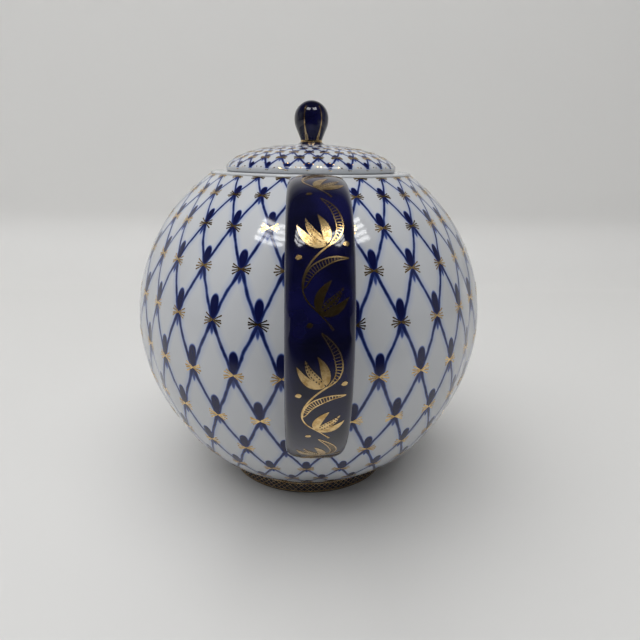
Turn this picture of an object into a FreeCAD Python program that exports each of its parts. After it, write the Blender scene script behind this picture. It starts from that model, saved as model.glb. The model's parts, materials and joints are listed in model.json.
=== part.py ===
"""Round porcelain teapot with six soft lobes, a strap handle, a curved spout and a lift-off lid.

Frame: +Z is up, the origin is the centre of the foot's underside, the handle points to -Y and the
spout to +Y. All sizes are in millimetres.

The pot is what a potter lutes together before firing: a lobed body shell, a foot ring, a mouth
collar, a handle and a spout. The lid is a dome, a locating flange and a knob, and it lifts off.
"""
import FreeCAD
import Part
import math
import os

Vector = FreeCAD.Vector
Z_AXIS = Vector(0, 0, 1)

# ---- body ----
BODY_RADIUS = 60.0          # to the crest of a lobe, at the body's widest
LOBE_COUNT = 6
LOBE_DEPTH = 1.7            # how far the valley between two lobes lies inside the crests
VALLEY_SOFTNESS = 0.16      # 0 is a sharp crease between lobes
LOBE_FADE = 9.0             # degrees of latitude over which lobes die out at the foot and the mouth
BODY_WALL = 3.0
FLOOR_THICKNESS = 3.6

# ---- foot ----
FOOT_RADIUS = 29.4
FOOT_HEIGHT = 4.4
FOOT_WALL = 3.6
FOOT_EDGE = 0.8             # rounding beside the resting face

# ---- mouth collar ----
MOUTH_RADIUS = 24.3
MOUTH_EDGE = 0.6
LID_LAP = 4.2               # how far the lid laps over the rim, past the mouth
RIM_SHOWN = 5.1             # width of flat rim that shows round the lid
COLLAR_RISE = 0.7           # the flat rim stands this far above the end of the wall
COLLAR_THICKNESS = 3.8
COLLAR_LEDGE = 1.7          # width of collar that laps over the top of the wall

# ---- handle: a strap in the plane x = 0 ----
HANDLE_WIDTH = 13.8
HANDLE_FOOT_WIDTH = 15.2    # the strap widens towards its lower end
HANDLE_THICKNESS = 6.2
HANDLE_SQUARENESS = 3.0     # exponent of the section's superellipse
HANDLE_STANDOFF = 27.5      # from the body's widest to the middle of the strap
HANDLE_BELOW_RIM = 2.1      # from the rim down to the middle of the strap at the top of its arch
HANDLE_FOOT_DROP = 21.7     # from the body's centre down to where the strap returns to the body

# ---- spout: an S-curve in the plane x = 0 ----
SPOUT_STANDOFF = 44.0       # from the body's widest to the middle of the lip
SPOUT_ROOT_DROP = 13.7      # from the body's centre down to the middle of the root
SPOUT_LIP_ABOVE_RIM = 1.5
SPOUT_ROOT_RADIUS = 15.5
SPOUT_LIP_RADIUS = 6.4
SPOUT_WALL = 2.3
STRAINER_HOLE_RADIUS = 1.5
STRAINER_MARGIN = 1.3       # from the spout's bore to the outer ring of holes
STRAINER_RINGS = 2

# ---- lid ----
LID_RISE = 8.8              # from the lid's resting plane to the top of the dome
LID_SWELL = 0.4             # the dome's ellipse is this much wider than the lid's upright edge
LID_WALL = 3.1
SEAT_GAP = 0.05             # glaze-to-glaze gap under the lid's edge
FLANGE_DEPTH = 7.5
FLANGE_WALL = 2.6
FLANGE_CLEARANCE = 0.7      # radial, to the mouth
VENT_RADIUS = 1.2
VENT_DISTANCE = 14.0        # steam vent, from the lid's axis towards the spout

# ---- knob ----
KNOB_RADIUS = 5.6
KNOB_HEIGHT = 13.7          # above the top of the dome
KNOB_NECK_RADIUS = 3.55
KNOB_FLARE = 1.1            # the neck widens by this much where it meets the lid

# ---- construction ----
SECTION_POINTS = 60         # points round each section of the body
BODY_SECTIONS = 15
STRAP_POINTS = 24
STRAP_SECTIONS = 16
SPOUT_SECTIONS = 10
DOME_POINTS = 13

# ---- worked out from the sizes above ----
LID_RADIUS = MOUTH_RADIUS + LID_LAP
SHOULDER_RADIUS = LID_RADIUS + RIM_SHOWN    # where the lobed wall ends and the flat rim begins
BODY_CENTRE = FOOT_HEIGHT + math.sqrt(BODY_RADIUS ** 2 - FOOT_RADIUS ** 2)
SHOULDER_HEIGHT = BODY_CENTRE + math.sqrt(BODY_RADIUS ** 2 - SHOULDER_RADIUS ** 2)
RIM_HEIGHT = SHOULDER_HEIGHT + COLLAR_RISE
COLLAR_UNDERSIDE = RIM_HEIGHT - COLLAR_THICKNESS
HANDLE_TOP = RIM_HEIGHT - HANDLE_BELOW_RIM
HANDLE_FOOT = BODY_CENTRE - HANDLE_FOOT_DROP
SPOUT_ROOT_HEIGHT = BODY_CENTRE - SPOUT_ROOT_DROP
SPOUT_LIP_HEIGHT = RIM_HEIGHT + SPOUT_LIP_ABOVE_RIM
STRAINER_SPREAD = SPOUT_ROOT_RADIUS - SPOUT_WALL - STRAINER_MARGIN - STRAINER_HOLE_RADIUS
STRAINER_PITCH = STRAINER_SPREAD / STRAINER_RINGS
LID_BASE = RIM_HEIGHT + SEAT_GAP
FLANGE_RADIUS = MOUTH_RADIUS - FLANGE_CLEARANCE
KNOB_SEAT_RADIUS = KNOB_NECK_RADIUS + KNOB_FLARE
KNOB_BASE = LID_BASE + LID_RISE * math.sqrt(1 - (KNOB_SEAT_RADIUS / (LID_RADIUS + LID_SWELL)) ** 2)
LOW_LATITUDE = -math.degrees(math.acos(FOOT_RADIUS / BODY_RADIUS))
HIGH_LATITUDE = math.degrees(math.acos(SHOULDER_RADIUS / BODY_RADIUS))


def smooth_step(value):
    """0 below 0, 1 above 1, and an S-curve between."""
    share = min(1.0, max(0.0, value))
    return share * share * (3 - 2 * share)


def lobe_height(azimuth):
    """1 on the crest of a lobe and 0 in the valley between two, with one valley at azimuth 0."""
    wave = math.sin(azimuth * LOBE_COUNT / 2)
    soft = math.sqrt(wave * wave + VALLEY_SOFTNESS ** 2) - VALLEY_SOFTNESS
    return soft / (math.sqrt(1 + VALLEY_SOFTNESS ** 2) - VALLEY_SOFTNESS)


def closed_spline(points):
    """A smooth closed wire through the points."""
    curve = Part.BSplineCurve()
    curve.interpolate(Points=points, PeriodicFlag=True)
    return Part.Wire([curve.toShape()])


def open_spline(points):
    """A smooth curve through the points."""
    curve = Part.BSplineCurve()
    curve.interpolate(Points=points)
    return curve


def lobed_section(radius, latitude):
    """A level section of the body at this radius of sphere and latitude."""
    fade = smooth_step((latitude - LOW_LATITUDE) / LOBE_FADE)
    fade *= smooth_step((HIGH_LATITUDE - latitude) / LOBE_FADE)
    level = BODY_CENTRE + radius * math.sin(math.radians(latitude))
    depth = LOBE_DEPTH / BODY_RADIUS * fade
    points = []
    for step in range(SECTION_POINTS):
        azimuth = 2 * math.pi * step / SECTION_POINTS
        reach = radius * math.cos(math.radians(latitude)) * (1 - depth * (1 - lobe_height(azimuth)))
        points.append(Vector(reach * math.sin(azimuth), -reach * math.cos(azimuth), level))
    return closed_spline(points)


def lobed_solid(radius, low, high):
    """The solid inside a lobed sphere between two latitudes."""
    step = (high - low) / (BODY_SECTIONS - 1)
    sections = [lobed_section(radius, low + step * n) for n in range(BODY_SECTIONS)]
    return Part.makeLoft(sections, True, False)


def latitude_at(radius, height):
    """Latitude where a sphere of this radius about the body's centre reaches this height."""
    return math.degrees(math.asin((height - BODY_CENTRE) / radius))


def planar(point):
    """(radius, height) as a point in the plane y = 0."""
    return Vector(point[0], 0, point[1])


def turned(outline):
    """A solid of revolution about Z. The outline's items are corners (radius, height), joined by
    lines, or lists of such points: three make an arc, and more make a smooth curve."""
    edges = []
    place = None
    for item in outline + outline[:1]:
        run = item if isinstance(item, list) else [item]
        ends = [planar(run[0]), planar(run[-1])]
        if place is not None and place.distanceToPoint(ends[0]) > 1e-6:
            edges.append(Part.makeLine(place, ends[0]))
        if len(run) == 3:
            edges.append(Part.Arc(ends[0], planar(run[1]), ends[1]).toShape())
        if len(run) > 3:
            edges.append(open_spline([planar(p) for p in run]).toShape())
        place = ends[1]
    return Part.Face(Part.Wire(edges)).revolve(Vector(0, 0, 0), Z_AXIS, 360)


def ellipse_run(radius, rise, base, start, end, count):
    """Points (radius, height) along an upright half ellipse between two angles, in radians."""
    angles = [start + (end - start) * n / (count - 1) for n in range(count)]
    return [(radius * math.cos(a), base + rise * math.sin(a)) for a in angles]


def quarter(centre, radius, start, end):
    """Three points of a round edge in the (radius, height) plane, between angles in degrees."""
    points = ellipse_run(radius, radius, centre[1], math.radians(start), math.radians(end), 3)
    return [(centre[0] + reach, height) for reach, height in points]


def cylinder(radius, low, high):
    """An upright cylinder about the pot's axis."""
    return Part.makeCylinder(radius, high - low, Vector(0, 0, low), Z_AXIS)


# ---- the luted pieces of the pot ----

def body_solid():
    """The lobed body as if it were not hollow."""
    return lobed_solid(BODY_RADIUS, LOW_LATITUDE, HIGH_LATITUDE)


def strainer_drill():
    """The strainer's holes as rods: a middle one and rings of six, twelve and so on."""
    root = Vector(0, math.sqrt(BODY_RADIUS ** 2 - (SPOUT_ROOT_HEIGHT - BODY_CENTRE) ** 2), SPOUT_ROOT_HEIGHT)
    outward = (root - Vector(0, 0, BODY_CENTRE)).normalize()
    across = Vector(1, 0, 0)
    upward = outward.cross(across)
    rods = []
    for column in range(-STRAINER_RINGS, STRAINER_RINGS + 1):
        for row in range(-STRAINER_RINGS, STRAINER_RINGS + 1):
            if abs(column + row) > STRAINER_RINGS:
                continue
            middle = root + across * (STRAINER_PITCH * (column + row / 2))
            middle += upward * (STRAINER_PITCH * row * math.sqrt(3) / 2)
            start = middle - outward * (3 * BODY_WALL)
            rods.append(Part.makeCylinder(STRAINER_HOLE_RADIUS, 5 * BODY_WALL, start, outward))
    return Part.makeCompound(rods)


def body_shell(solid):
    """The hollow lobed wall and floor, pierced behind the spout, open under the collar."""
    inner_radius = BODY_RADIUS - BODY_WALL
    low = latitude_at(inner_radius, FOOT_HEIGHT + FLOOR_THICKNESS)
    high = latitude_at(inner_radius, COLLAR_UNDERSIDE)
    hollow = lobed_solid(inner_radius, low, high)
    opening = cylinder(SHOULDER_RADIUS - COLLAR_LEDGE, COLLAR_UNDERSIDE - BODY_WALL, RIM_HEIGHT + 1)
    return solid.cut(hollow).cut(opening).cut(strainer_drill())


def foot_ring():
    """The ring that the pot stands on."""
    inner = FOOT_RADIUS - FOOT_WALL
    edge = FOOT_EDGE
    return turned([
        (inner, FOOT_HEIGHT),
        quarter((inner + edge, edge), edge, 180, 270),
        quarter((FOOT_RADIUS - edge, edge), edge, 270, 360),
        (FOOT_RADIUS, FOOT_HEIGHT),
    ])


def mouth_collar():
    """The flat rim round the mouth, which the lid rests on."""
    seat = SHOULDER_RADIUS - COLLAR_LEDGE
    edge = MOUTH_EDGE
    round_over = COLLAR_RISE
    return turned([
        (MOUTH_RADIUS, COLLAR_UNDERSIDE),
        (seat, COLLAR_UNDERSIDE),
        (seat, SHOULDER_HEIGHT),
        quarter((SHOULDER_RADIUS - round_over, SHOULDER_HEIGHT), round_over, 0, 90),
        quarter((MOUTH_RADIUS + edge, RIM_HEIGHT - edge), edge, 90, 180),
    ])


def strap_section(middle, along, width, thickness):
    """A rounded section of the handle, square to the direction it runs in."""
    out = Vector(1, 0, 0).cross(along)
    power = 2 / HANDLE_SQUARENESS
    points = []
    for step in range(STRAP_POINTS):
        angle = 2 * math.pi * step / STRAP_POINTS
        side, face = math.cos(angle), math.sin(angle)
        x = math.copysign(abs(side) ** power, side) * width / 2
        y = math.copysign(abs(face) ** power, face) * thickness / 2
        points.append(middle + Vector(1, 0, 0) * x + out * y)
    return closed_spline(points)


def handle_line():
    """The middle line of the strap, from inside the shoulder to inside the lower wall."""
    span = HANDLE_TOP - HANDLE_FOOT
    shares = [  # share of the standoff beyond the body, share of the height from foot to top
        (-0.93, 0.905), (-0.48, 0.975), (0.05, 1.0), (0.58, 0.935), (0.93, 0.755), (1.0, 0.53),
        (0.80, 0.29), (0.36, 0.105), (-0.12, 0.012), (-0.42, 0.0),
    ]
    return open_spline([
        Vector(0, -(BODY_RADIUS + HANDLE_STANDOFF * out), HANDLE_FOOT + span * up) for out, up in shares
    ])


def handle(solid):
    """The strap handle, cut where it meets the lobed wall."""
    line = handle_line()
    first, last = line.FirstParameter, line.LastParameter
    sections = []
    for step in range(STRAP_SECTIONS):
        share = step / (STRAP_SECTIONS - 1)
        at = first + (last - first) * share
        width = HANDLE_WIDTH + (HANDLE_FOOT_WIDTH - HANDLE_WIDTH) * share
        along = line.tangent(at)[0]
        sections.append(strap_section(line.value(at), along, width, HANDLE_THICKNESS))
    return Part.makeLoft(sections, True, False).cut(solid)


def spout_line():
    """The middle line of the spout, from inside the wall to a little past the lip."""
    rise = SPOUT_LIP_HEIGHT - SPOUT_ROOT_HEIGHT
    shares = [  # share of the standoff beyond the body, share of the rise from root to lip
        (-0.36, -0.08), (-0.02, 0.0), (0.26, 0.13), (0.46, 0.34), (0.61, 0.58), (0.78, 0.80), (1.0, 1.0),
        (1.16, 1.14),
    ]
    return open_spline([
        Vector(0, BODY_RADIUS + SPOUT_STANDOFF * out, SPOUT_ROOT_HEIGHT + rise * up) for out, up in shares
    ])


def spout_loft(inset):
    """The spout's outer form, or its bore if inset is the wall."""
    line = spout_line()
    first, last = line.FirstParameter, line.LastParameter
    sections = []
    for step in range(SPOUT_SECTIONS):
        share = step / (SPOUT_SECTIONS - 1)
        at = first + (last - first) * share
        swell = (1 - share) ** 1.7
        radius = SPOUT_LIP_RADIUS + (SPOUT_ROOT_RADIUS - SPOUT_LIP_RADIUS) * swell - inset
        circle = Part.Circle(line.value(at), line.tangent(at)[0], radius)
        sections.append(Part.Wire([circle.toShape()]))
    return Part.makeLoft(sections, True, False)


def spout(solid):
    """The hollow spout, cut level at the lip and to the lobed wall at its root."""
    size = 4 * SPOUT_ROOT_RADIUS
    reach = BODY_RADIUS + SPOUT_STANDOFF
    above = Part.makeBox(size, size, size, Vector(-size / 2, reach - size / 2, SPOUT_LIP_HEIGHT))
    return spout_loft(0).cut(spout_loft(SPOUT_WALL)).cut(above).cut(solid)


# ---- the pieces of the lid ----

def dome_height(radius, rise, reach):
    """Height of an elliptic dome above its base, at this distance from the axis."""
    return rise * math.sqrt(1 - (reach / radius) ** 2)


def lid_dome():
    """The domed cap with its steam vent, hollow underneath and flat where the knob sits."""
    outer_radius = LID_RADIUS + LID_SWELL
    inner_radius = LID_RADIUS - LID_WALL
    edge = math.acos(LID_RADIUS / outer_radius)
    seat = math.acos(KNOB_SEAT_RADIUS / outer_radius)
    cap = turned([
        (LID_RADIUS, LID_BASE),
        ellipse_run(outer_radius, LID_RISE, LID_BASE, edge, seat, DOME_POINTS),
        (0, KNOB_BASE),
        ellipse_run(inner_radius, LID_RISE - LID_WALL, LID_BASE, math.pi / 2, 0, DOME_POINTS),
    ])
    vent = Part.makeCylinder(VENT_RADIUS, LID_RISE + 2, Vector(0, VENT_DISTANCE, LID_BASE - 1), Z_AXIS)
    return cap.cut(vent)


def lid_flange(dome):
    """The ring that drops into the mouth and keeps the lid in place."""
    low = LID_BASE - FLANGE_DEPTH
    inner = FLANGE_RADIUS - FLANGE_WALL
    under_cap = dome_height(LID_RADIUS - LID_WALL, LID_RISE - LID_WALL, inner)
    over_cap = dome_height(LID_RADIUS + LID_SWELL, LID_RISE, FLANGE_RADIUS)
    high = LID_BASE + (under_cap + over_cap) / 2
    return cylinder(FLANGE_RADIUS, low, high).cut(cylinder(inner, low - 1, high + 1)).cut(dome)


def knob():
    """The bulb-shaped knob on its neck."""
    bulb = LID_BASE + LID_RISE + KNOB_HEIGHT - KNOB_RADIUS
    run = bulb - KNOB_BASE
    shoulder = KNOB_RADIUS - KNOB_NECK_RADIUS
    return turned([
        (0, KNOB_BASE),
        [
            (KNOB_SEAT_RADIUS, KNOB_BASE),
            (KNOB_NECK_RADIUS, KNOB_BASE + run * 0.10),
            (KNOB_NECK_RADIUS + shoulder * 0.12, bulb - run * 0.74),
            (KNOB_NECK_RADIUS + shoulder * 0.52, bulb - run * 0.50),
            (KNOB_RADIUS * 0.965, bulb - run * 0.24),
            (KNOB_RADIUS, bulb),
        ],
        quarter((0, bulb), KNOB_RADIUS, 0, 90),
    ])


def write(name, shape):
    """Writes one node, after a look that it is closed solids of positive volume."""
    solids = shape.Solids
    if not shape.isValid() or not solids or min(s.Volume for s in solids) <= 0:
        raise SystemExit(name + " is not a valid solid")
    print(f"{name}: {len(solids)} solid, {shape.Volume / 1000:.2f} cm3, faces {len(shape.Faces)}")
    body = solids[0] if len(solids) == 1 else Part.makeCompound(solids)
    body.exportStep(os.path.join("parts", name + ".step"))


def main():
    """Builds every node."""
    os.makedirs("parts", exist_ok=True)
    solid = body_solid()
    dome = lid_dome()
    write("body_shell", body_shell(solid))
    write("foot_ring", foot_ring())
    write("mouth_collar", mouth_collar())
    write("handle", handle(solid))
    write("spout", spout(solid))
    write("lid_dome", dome)
    write("lid_flange", lid_flange(dome))
    write("knob", knob())


main()
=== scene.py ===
"""Dresses the porcelain teapot: cobalt net and gilding over white glaze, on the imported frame.

Frame: metres, +Z up, the origin is the centre of the foot's underside, the strap handle points to
-Y and the spout to +Y. Azimuths are measured from the handle, towards +X.
"""
import json
import logging
import math
from dataclasses import dataclass, field
from enum import Enum
from typing import Any, Callable, ClassVar, Sequence, Union

import bmesh
import bpy
import numpy as np
from mathutils import Matrix, Vector
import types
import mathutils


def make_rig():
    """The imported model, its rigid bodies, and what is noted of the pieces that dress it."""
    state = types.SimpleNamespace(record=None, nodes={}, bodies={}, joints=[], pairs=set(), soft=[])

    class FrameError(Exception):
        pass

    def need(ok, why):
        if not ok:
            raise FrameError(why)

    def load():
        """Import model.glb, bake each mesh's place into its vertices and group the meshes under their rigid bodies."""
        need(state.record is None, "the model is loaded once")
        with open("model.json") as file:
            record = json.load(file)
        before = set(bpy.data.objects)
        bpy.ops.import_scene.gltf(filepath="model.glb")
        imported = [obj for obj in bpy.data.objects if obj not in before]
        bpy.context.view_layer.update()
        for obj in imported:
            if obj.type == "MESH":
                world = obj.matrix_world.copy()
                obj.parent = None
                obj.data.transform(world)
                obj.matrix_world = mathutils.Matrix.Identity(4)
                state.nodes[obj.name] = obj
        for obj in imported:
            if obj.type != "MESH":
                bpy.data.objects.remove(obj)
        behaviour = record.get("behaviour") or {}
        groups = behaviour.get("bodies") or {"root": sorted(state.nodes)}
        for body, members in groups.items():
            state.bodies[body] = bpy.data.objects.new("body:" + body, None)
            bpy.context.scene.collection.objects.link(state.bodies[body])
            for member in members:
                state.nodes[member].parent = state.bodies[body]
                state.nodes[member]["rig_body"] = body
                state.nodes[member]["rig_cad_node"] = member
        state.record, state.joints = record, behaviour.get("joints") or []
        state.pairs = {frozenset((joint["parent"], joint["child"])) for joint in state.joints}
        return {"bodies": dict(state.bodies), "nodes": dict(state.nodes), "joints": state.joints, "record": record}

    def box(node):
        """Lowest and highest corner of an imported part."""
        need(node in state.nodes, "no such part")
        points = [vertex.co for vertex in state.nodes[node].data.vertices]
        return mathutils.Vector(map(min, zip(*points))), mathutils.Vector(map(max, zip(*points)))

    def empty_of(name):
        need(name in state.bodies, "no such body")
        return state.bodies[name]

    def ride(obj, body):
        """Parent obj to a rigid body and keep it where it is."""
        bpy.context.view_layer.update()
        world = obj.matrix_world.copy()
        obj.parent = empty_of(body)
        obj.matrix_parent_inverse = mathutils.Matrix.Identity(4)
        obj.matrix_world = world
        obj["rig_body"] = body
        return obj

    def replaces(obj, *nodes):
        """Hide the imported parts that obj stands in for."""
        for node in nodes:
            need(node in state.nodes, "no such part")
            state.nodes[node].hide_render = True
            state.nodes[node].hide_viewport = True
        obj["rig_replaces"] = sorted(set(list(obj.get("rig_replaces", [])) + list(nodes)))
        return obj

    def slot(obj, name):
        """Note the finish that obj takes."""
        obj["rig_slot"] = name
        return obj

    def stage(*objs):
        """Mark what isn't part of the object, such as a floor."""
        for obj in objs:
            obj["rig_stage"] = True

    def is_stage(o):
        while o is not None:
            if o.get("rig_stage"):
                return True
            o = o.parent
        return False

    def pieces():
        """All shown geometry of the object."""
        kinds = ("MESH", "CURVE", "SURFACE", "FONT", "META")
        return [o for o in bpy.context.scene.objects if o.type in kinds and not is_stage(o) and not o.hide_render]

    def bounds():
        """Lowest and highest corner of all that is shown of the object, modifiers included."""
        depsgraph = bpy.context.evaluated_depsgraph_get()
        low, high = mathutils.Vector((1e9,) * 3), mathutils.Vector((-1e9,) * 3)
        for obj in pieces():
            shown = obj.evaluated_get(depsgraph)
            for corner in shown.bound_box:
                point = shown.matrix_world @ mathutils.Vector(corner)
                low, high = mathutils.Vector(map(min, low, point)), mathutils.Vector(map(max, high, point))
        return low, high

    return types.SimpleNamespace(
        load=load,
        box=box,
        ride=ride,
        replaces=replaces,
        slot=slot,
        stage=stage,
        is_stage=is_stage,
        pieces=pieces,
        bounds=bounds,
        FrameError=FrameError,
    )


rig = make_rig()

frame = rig.load()

Array = np.ndarray
Colour = tuple[float, float, float]
LOG = logging.getLogger("teapot")
MM = 0.001
WELD = 2e-6                     # points nearer than this are one point
GLAZE_IOR = 1.52
PLAIN_PLACE = (0.0, -10.0)      # place in the pattern where the net is left out
TURN = 2 * math.pi
Line = list[tuple[float, float]]


class Slot(Enum):
    """Material slots of the record."""

    NET = "net_porcelain"
    WHITE = "white_glaze"
    COBALT = "cobalt_glaze"
    BAND = "cobalt_gold_band"


class Body(Enum):
    """Bodies that move."""

    POT = "pot"
    LID = "lid"


# ---------------------------------------------------------------- arithmetic on arrays

def smooth_step(value: Array) -> Array:
    """0 below 0, 1 above 1, and the S-curve 3x^2 - 2x^3 between."""
    share = np.clip(value, 0.0, 1.0)
    return share * share * (3 - 2 * share)


def unit(vectors: Array) -> Array:
    """The vectors at length one."""
    return vectors / np.linalg.norm(vectors, axis=-1, keepdims=True)


def stack(*parts: Array) -> Array:
    """Coordinates side by side in the last axis."""
    return np.stack(np.broadcast_arrays(*parts), axis=-1)


def beside(side: Array, middle: Array, run: Array, rise: Array) -> Array:
    """Points that stand off a line in the plane x = 0.

    Args:
        side: how far each point lies along x.
        middle: points of the line, as (y, z).
        run: unit directions of the line there.
        rise: how far each point stands off the line in the plane, to the right of its run.

    Returns:
        The points.
    """
    return stack(side, middle[..., 0] + rise * run[..., 1], middle[..., 1] - rise * run[..., 0])


class Curve:
    """A natural cubic spline through points, by a share of its length from 0 to 1.

    Args:
        points: the points that it passes through, as rows.
    """

    def __init__(self, points: Sequence[Sequence[float]]) -> None:
        knots = np.array(points, float)
        steps = np.linalg.norm(np.diff(knots, axis=0), axis=1)
        count = len(knots)
        system = np.eye(count)
        right = np.zeros_like(knots)
        slopes = np.diff(knots, axis=0) / steps[:, None]
        inner = np.arange(1, count - 1)
        system[inner, inner - 1] = steps[:-1]
        system[inner, inner] = 2 * (steps[:-1] + steps[1:])
        system[inner, inner + 1] = steps[1:]
        right[1:-1] = 6 * np.diff(slopes, axis=0)
        self.knots, self.steps, self.bend = knots, steps, np.linalg.solve(system, right)
        self.marks = np.concatenate([[0.0], np.cumsum(steps)])
        fine = np.linspace(0, self.marks[-1], 1200)
        runs = np.linalg.norm(np.diff(self._raw(fine), axis=0), axis=1)
        self._fine, self._lengths = fine, np.concatenate([[0.0], np.cumsum(runs)])
        self.length = float(self._lengths[-1])

    def _raw(self, place: Array) -> Array:
        """Points at distances along the chain of chords."""
        which = np.searchsorted(self.marks, place, side="right") - 1
        which = np.clip(which, 0, len(self.steps) - 1)
        step = self.steps[which][..., None]
        ahead = np.asarray(place - self.marks[which])[..., None] / step
        back = 1 - ahead
        bulge = (back**3 - back) * self.bend[which] + (ahead**3 - ahead) * self.bend[which + 1]
        return back * self.knots[which] + ahead * self.knots[which + 1] + bulge * step**2 / 6

    def at(self, share: Array) -> Array:
        """Points at shares of the curve's length."""
        place = np.interp(np.asarray(share) * self.length, self._lengths, self._fine)
        return self._raw(place)

    def along(self, share: Array) -> Array:
        """Unit directions at shares of the curve's length."""
        step = 1e-4
        share = np.clip(share, step, 1 - step)
        return unit(self.at(share + step) - self.at(share - step))


# ---------------------------------------------------------------- surfaces

class Skin:
    """A surface of two parameters, with its outside on the side that `outside` gives."""

    outside: float = 1.0
    step: float = 1e-5

    def base(self, first: Array, second: Array) -> Array:
        """Points of the surface."""
        raise NotImplementedError

    def slopes(self, first: Array, second: Array) -> tuple[Array, Array]:
        """Change of place for a unit of each parameter, by central differences."""
        h = self.step
        across = (self.base(first + h, second) - self.base(first - h, second)) / (2 * h)
        along = (self.base(first, second + h) - self.base(first, second - h)) / (2 * h)
        return across, along

    def lift(self, first: Array, second: Array, height: Union[float, Array]) -> Array:
        """Points at this height over the surface, along its normal."""
        across, along = self.slopes(first, second)
        normal = unit(np.cross(across, along)) * self.outside
        return self.base(first, second) + normal * np.asarray(height)[..., None]

    def near(self, places: Array, flat: Array) -> tuple[Array, Array]:
        """Parameters of points given in metres, to the side and up, from places on the surface.

        Args:
            places: parameters of the places, shape (n, 2).
            flat: metres to the side and up, shape (n, ..., 2).

        Returns:
            The two parameters, each of shape (n, ...).
        """
        across, along = self.slopes(places[:, 0], places[:, 1])
        shape = (len(places),) + (1,) * (flat.ndim - 2)
        wide = np.linalg.norm(across, axis=-1).reshape(shape)
        tall = np.linalg.norm(along, axis=-1).reshape(shape)
        first, second = (places[:, k].reshape(shape) for k in (0, 1))
        return first + flat[..., 0] / wide, second + flat[..., 1] / tall


@dataclass(frozen=True)
class LobedSphere(Skin):
    """A sphere cut into soft lobes by shallow valleys that run from foot to mouth.

    A point at azimuth a and latitude b lies at radius * cos(b) * (1 - depth * valley(a)) from the
    axis, and valley(a) is 1 in a valley and 0 on a crest, from the size of sin(lobes * a / 2).
    """

    radius: float
    middle: float
    low: float
    high: float
    lobes: int = 6
    depth: float = 1.7 / 60
    softness: float = 0.05
    fade: float = math.radians(9)

    def base(self, azimuth: Array, latitude: Array) -> Array:
        """Points at azimuths and latitudes, in radians."""
        azimuth, latitude = np.broadcast_arrays(azimuth, latitude)
        wave = np.sin(azimuth * self.lobes / 2)
        crest = np.sqrt(wave**2 + self.softness**2) - self.softness
        crest = crest / (math.sqrt(1 + self.softness**2) - self.softness)
        above_low = smooth_step((latitude - self.low) / self.fade)
        fade = above_low * smooth_step((self.high - latitude) / self.fade)
        reach = self.radius * np.cos(latitude) * (1 - self.depth * fade * (1 - crest))
        height = self.middle + self.radius * np.sin(latitude)
        return stack(reach * np.sin(azimuth), -reach * np.cos(azimuth), height)


@dataclass(frozen=True)
class Turned(Skin):
    """A profile (distance from the axis, height) carried round the axis."""

    profile: Curve

    def base(self, azimuth: Array, share: Array) -> Array:
        """Points at azimuths, in radians, and shares of the profile's length from its low end."""
        azimuth, share = np.broadcast_arrays(azimuth, share)
        run = self.profile.at(share)
        return stack(run[..., 0] * np.sin(azimuth), -run[..., 0] * np.cos(azimuth), run[..., 1])


@dataclass(frozen=True)
class StrapFace(Skin):
    """The outer face of a strap whose section is a superellipse, in metres across and along.

    At x across, the face stands thickness / 2 * (1 - |2x / width|^p)^(1/p) over the middle line.
    """

    line: Curve
    width: tuple[float, float]
    thickness: float
    power: float
    outside: float = -1.0

    def width_at(self, share: Array) -> Array:
        """Width of the strap at shares of its line."""
        return self.width[0] + (self.width[1] - self.width[0]) * share

    def base(self, across: Array, along: Array) -> Array:
        """Points of the outer face."""
        across, along = np.broadcast_arrays(across, along)
        share = along / self.line.length
        middle, run = self.line.at(share), self.line.along(share)
        side = np.clip(np.abs(2 * across / self.width_at(share)), 0, 0.999)
        rise = self.thickness / 2 * (1 - side**self.power) ** (1 / self.power)
        return beside(across, middle, run, rise)


@dataclass(frozen=True)
class Tube(Skin):
    """A round tube that narrows from its root to its lip along a line in the plane x = 0.

    Its radius at share s is lip + (root - lip) * (1 - s)^1.7, less an inset for the bore.
    """

    line: Curve
    root: float
    lip: float
    inset: float = 0.0
    outside: float = -1.0

    def radius_at(self, share: Array) -> Array:
        """Outer radius at shares of the line."""
        return self.lip + (self.root - self.lip) * np.clip(1 - share, 0, 1) ** 1.7

    def base(self, angle: Array, share: Array) -> Array:
        """Points at angles round the tube, from its underside, and shares of its line."""
        angle, share = np.broadcast_arrays(angle, share)
        middle, run = self.line.at(share), self.line.along(share)
        reach = self.radius_at(share) - self.inset
        return beside(reach * np.sin(angle), middle, run, reach * np.cos(angle))


def on_line(points: Array, shares: Array, share: float) -> Array:
    """The point at a share of a line that is given by points at shares."""
    return np.array([np.interp(share, shares, points[:, axis]) for axis in (0, 1)])


def share_where(level: Callable[[Array], Array], count: int, low: float, high: float) -> Array:
    """Shares between low and high where a rising level crosses zero, by halving, one for each line.

    Args:
        level: takes a share for each line and returns the level there.
        count: number of lines.
        low: share where the level is below zero.
        high: share where the level is above zero.

    Returns:
        A share for each line.
    """
    under, over = np.full(count, low), np.full(count, high)
    for _ in range(40):
        middle = (under + over) / 2
        below = level(middle) < 0
        under, over = np.where(below, middle, under), np.where(below, over, middle)
    return (under + over) / 2


# ---------------------------------------------------------------- meshes

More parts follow.
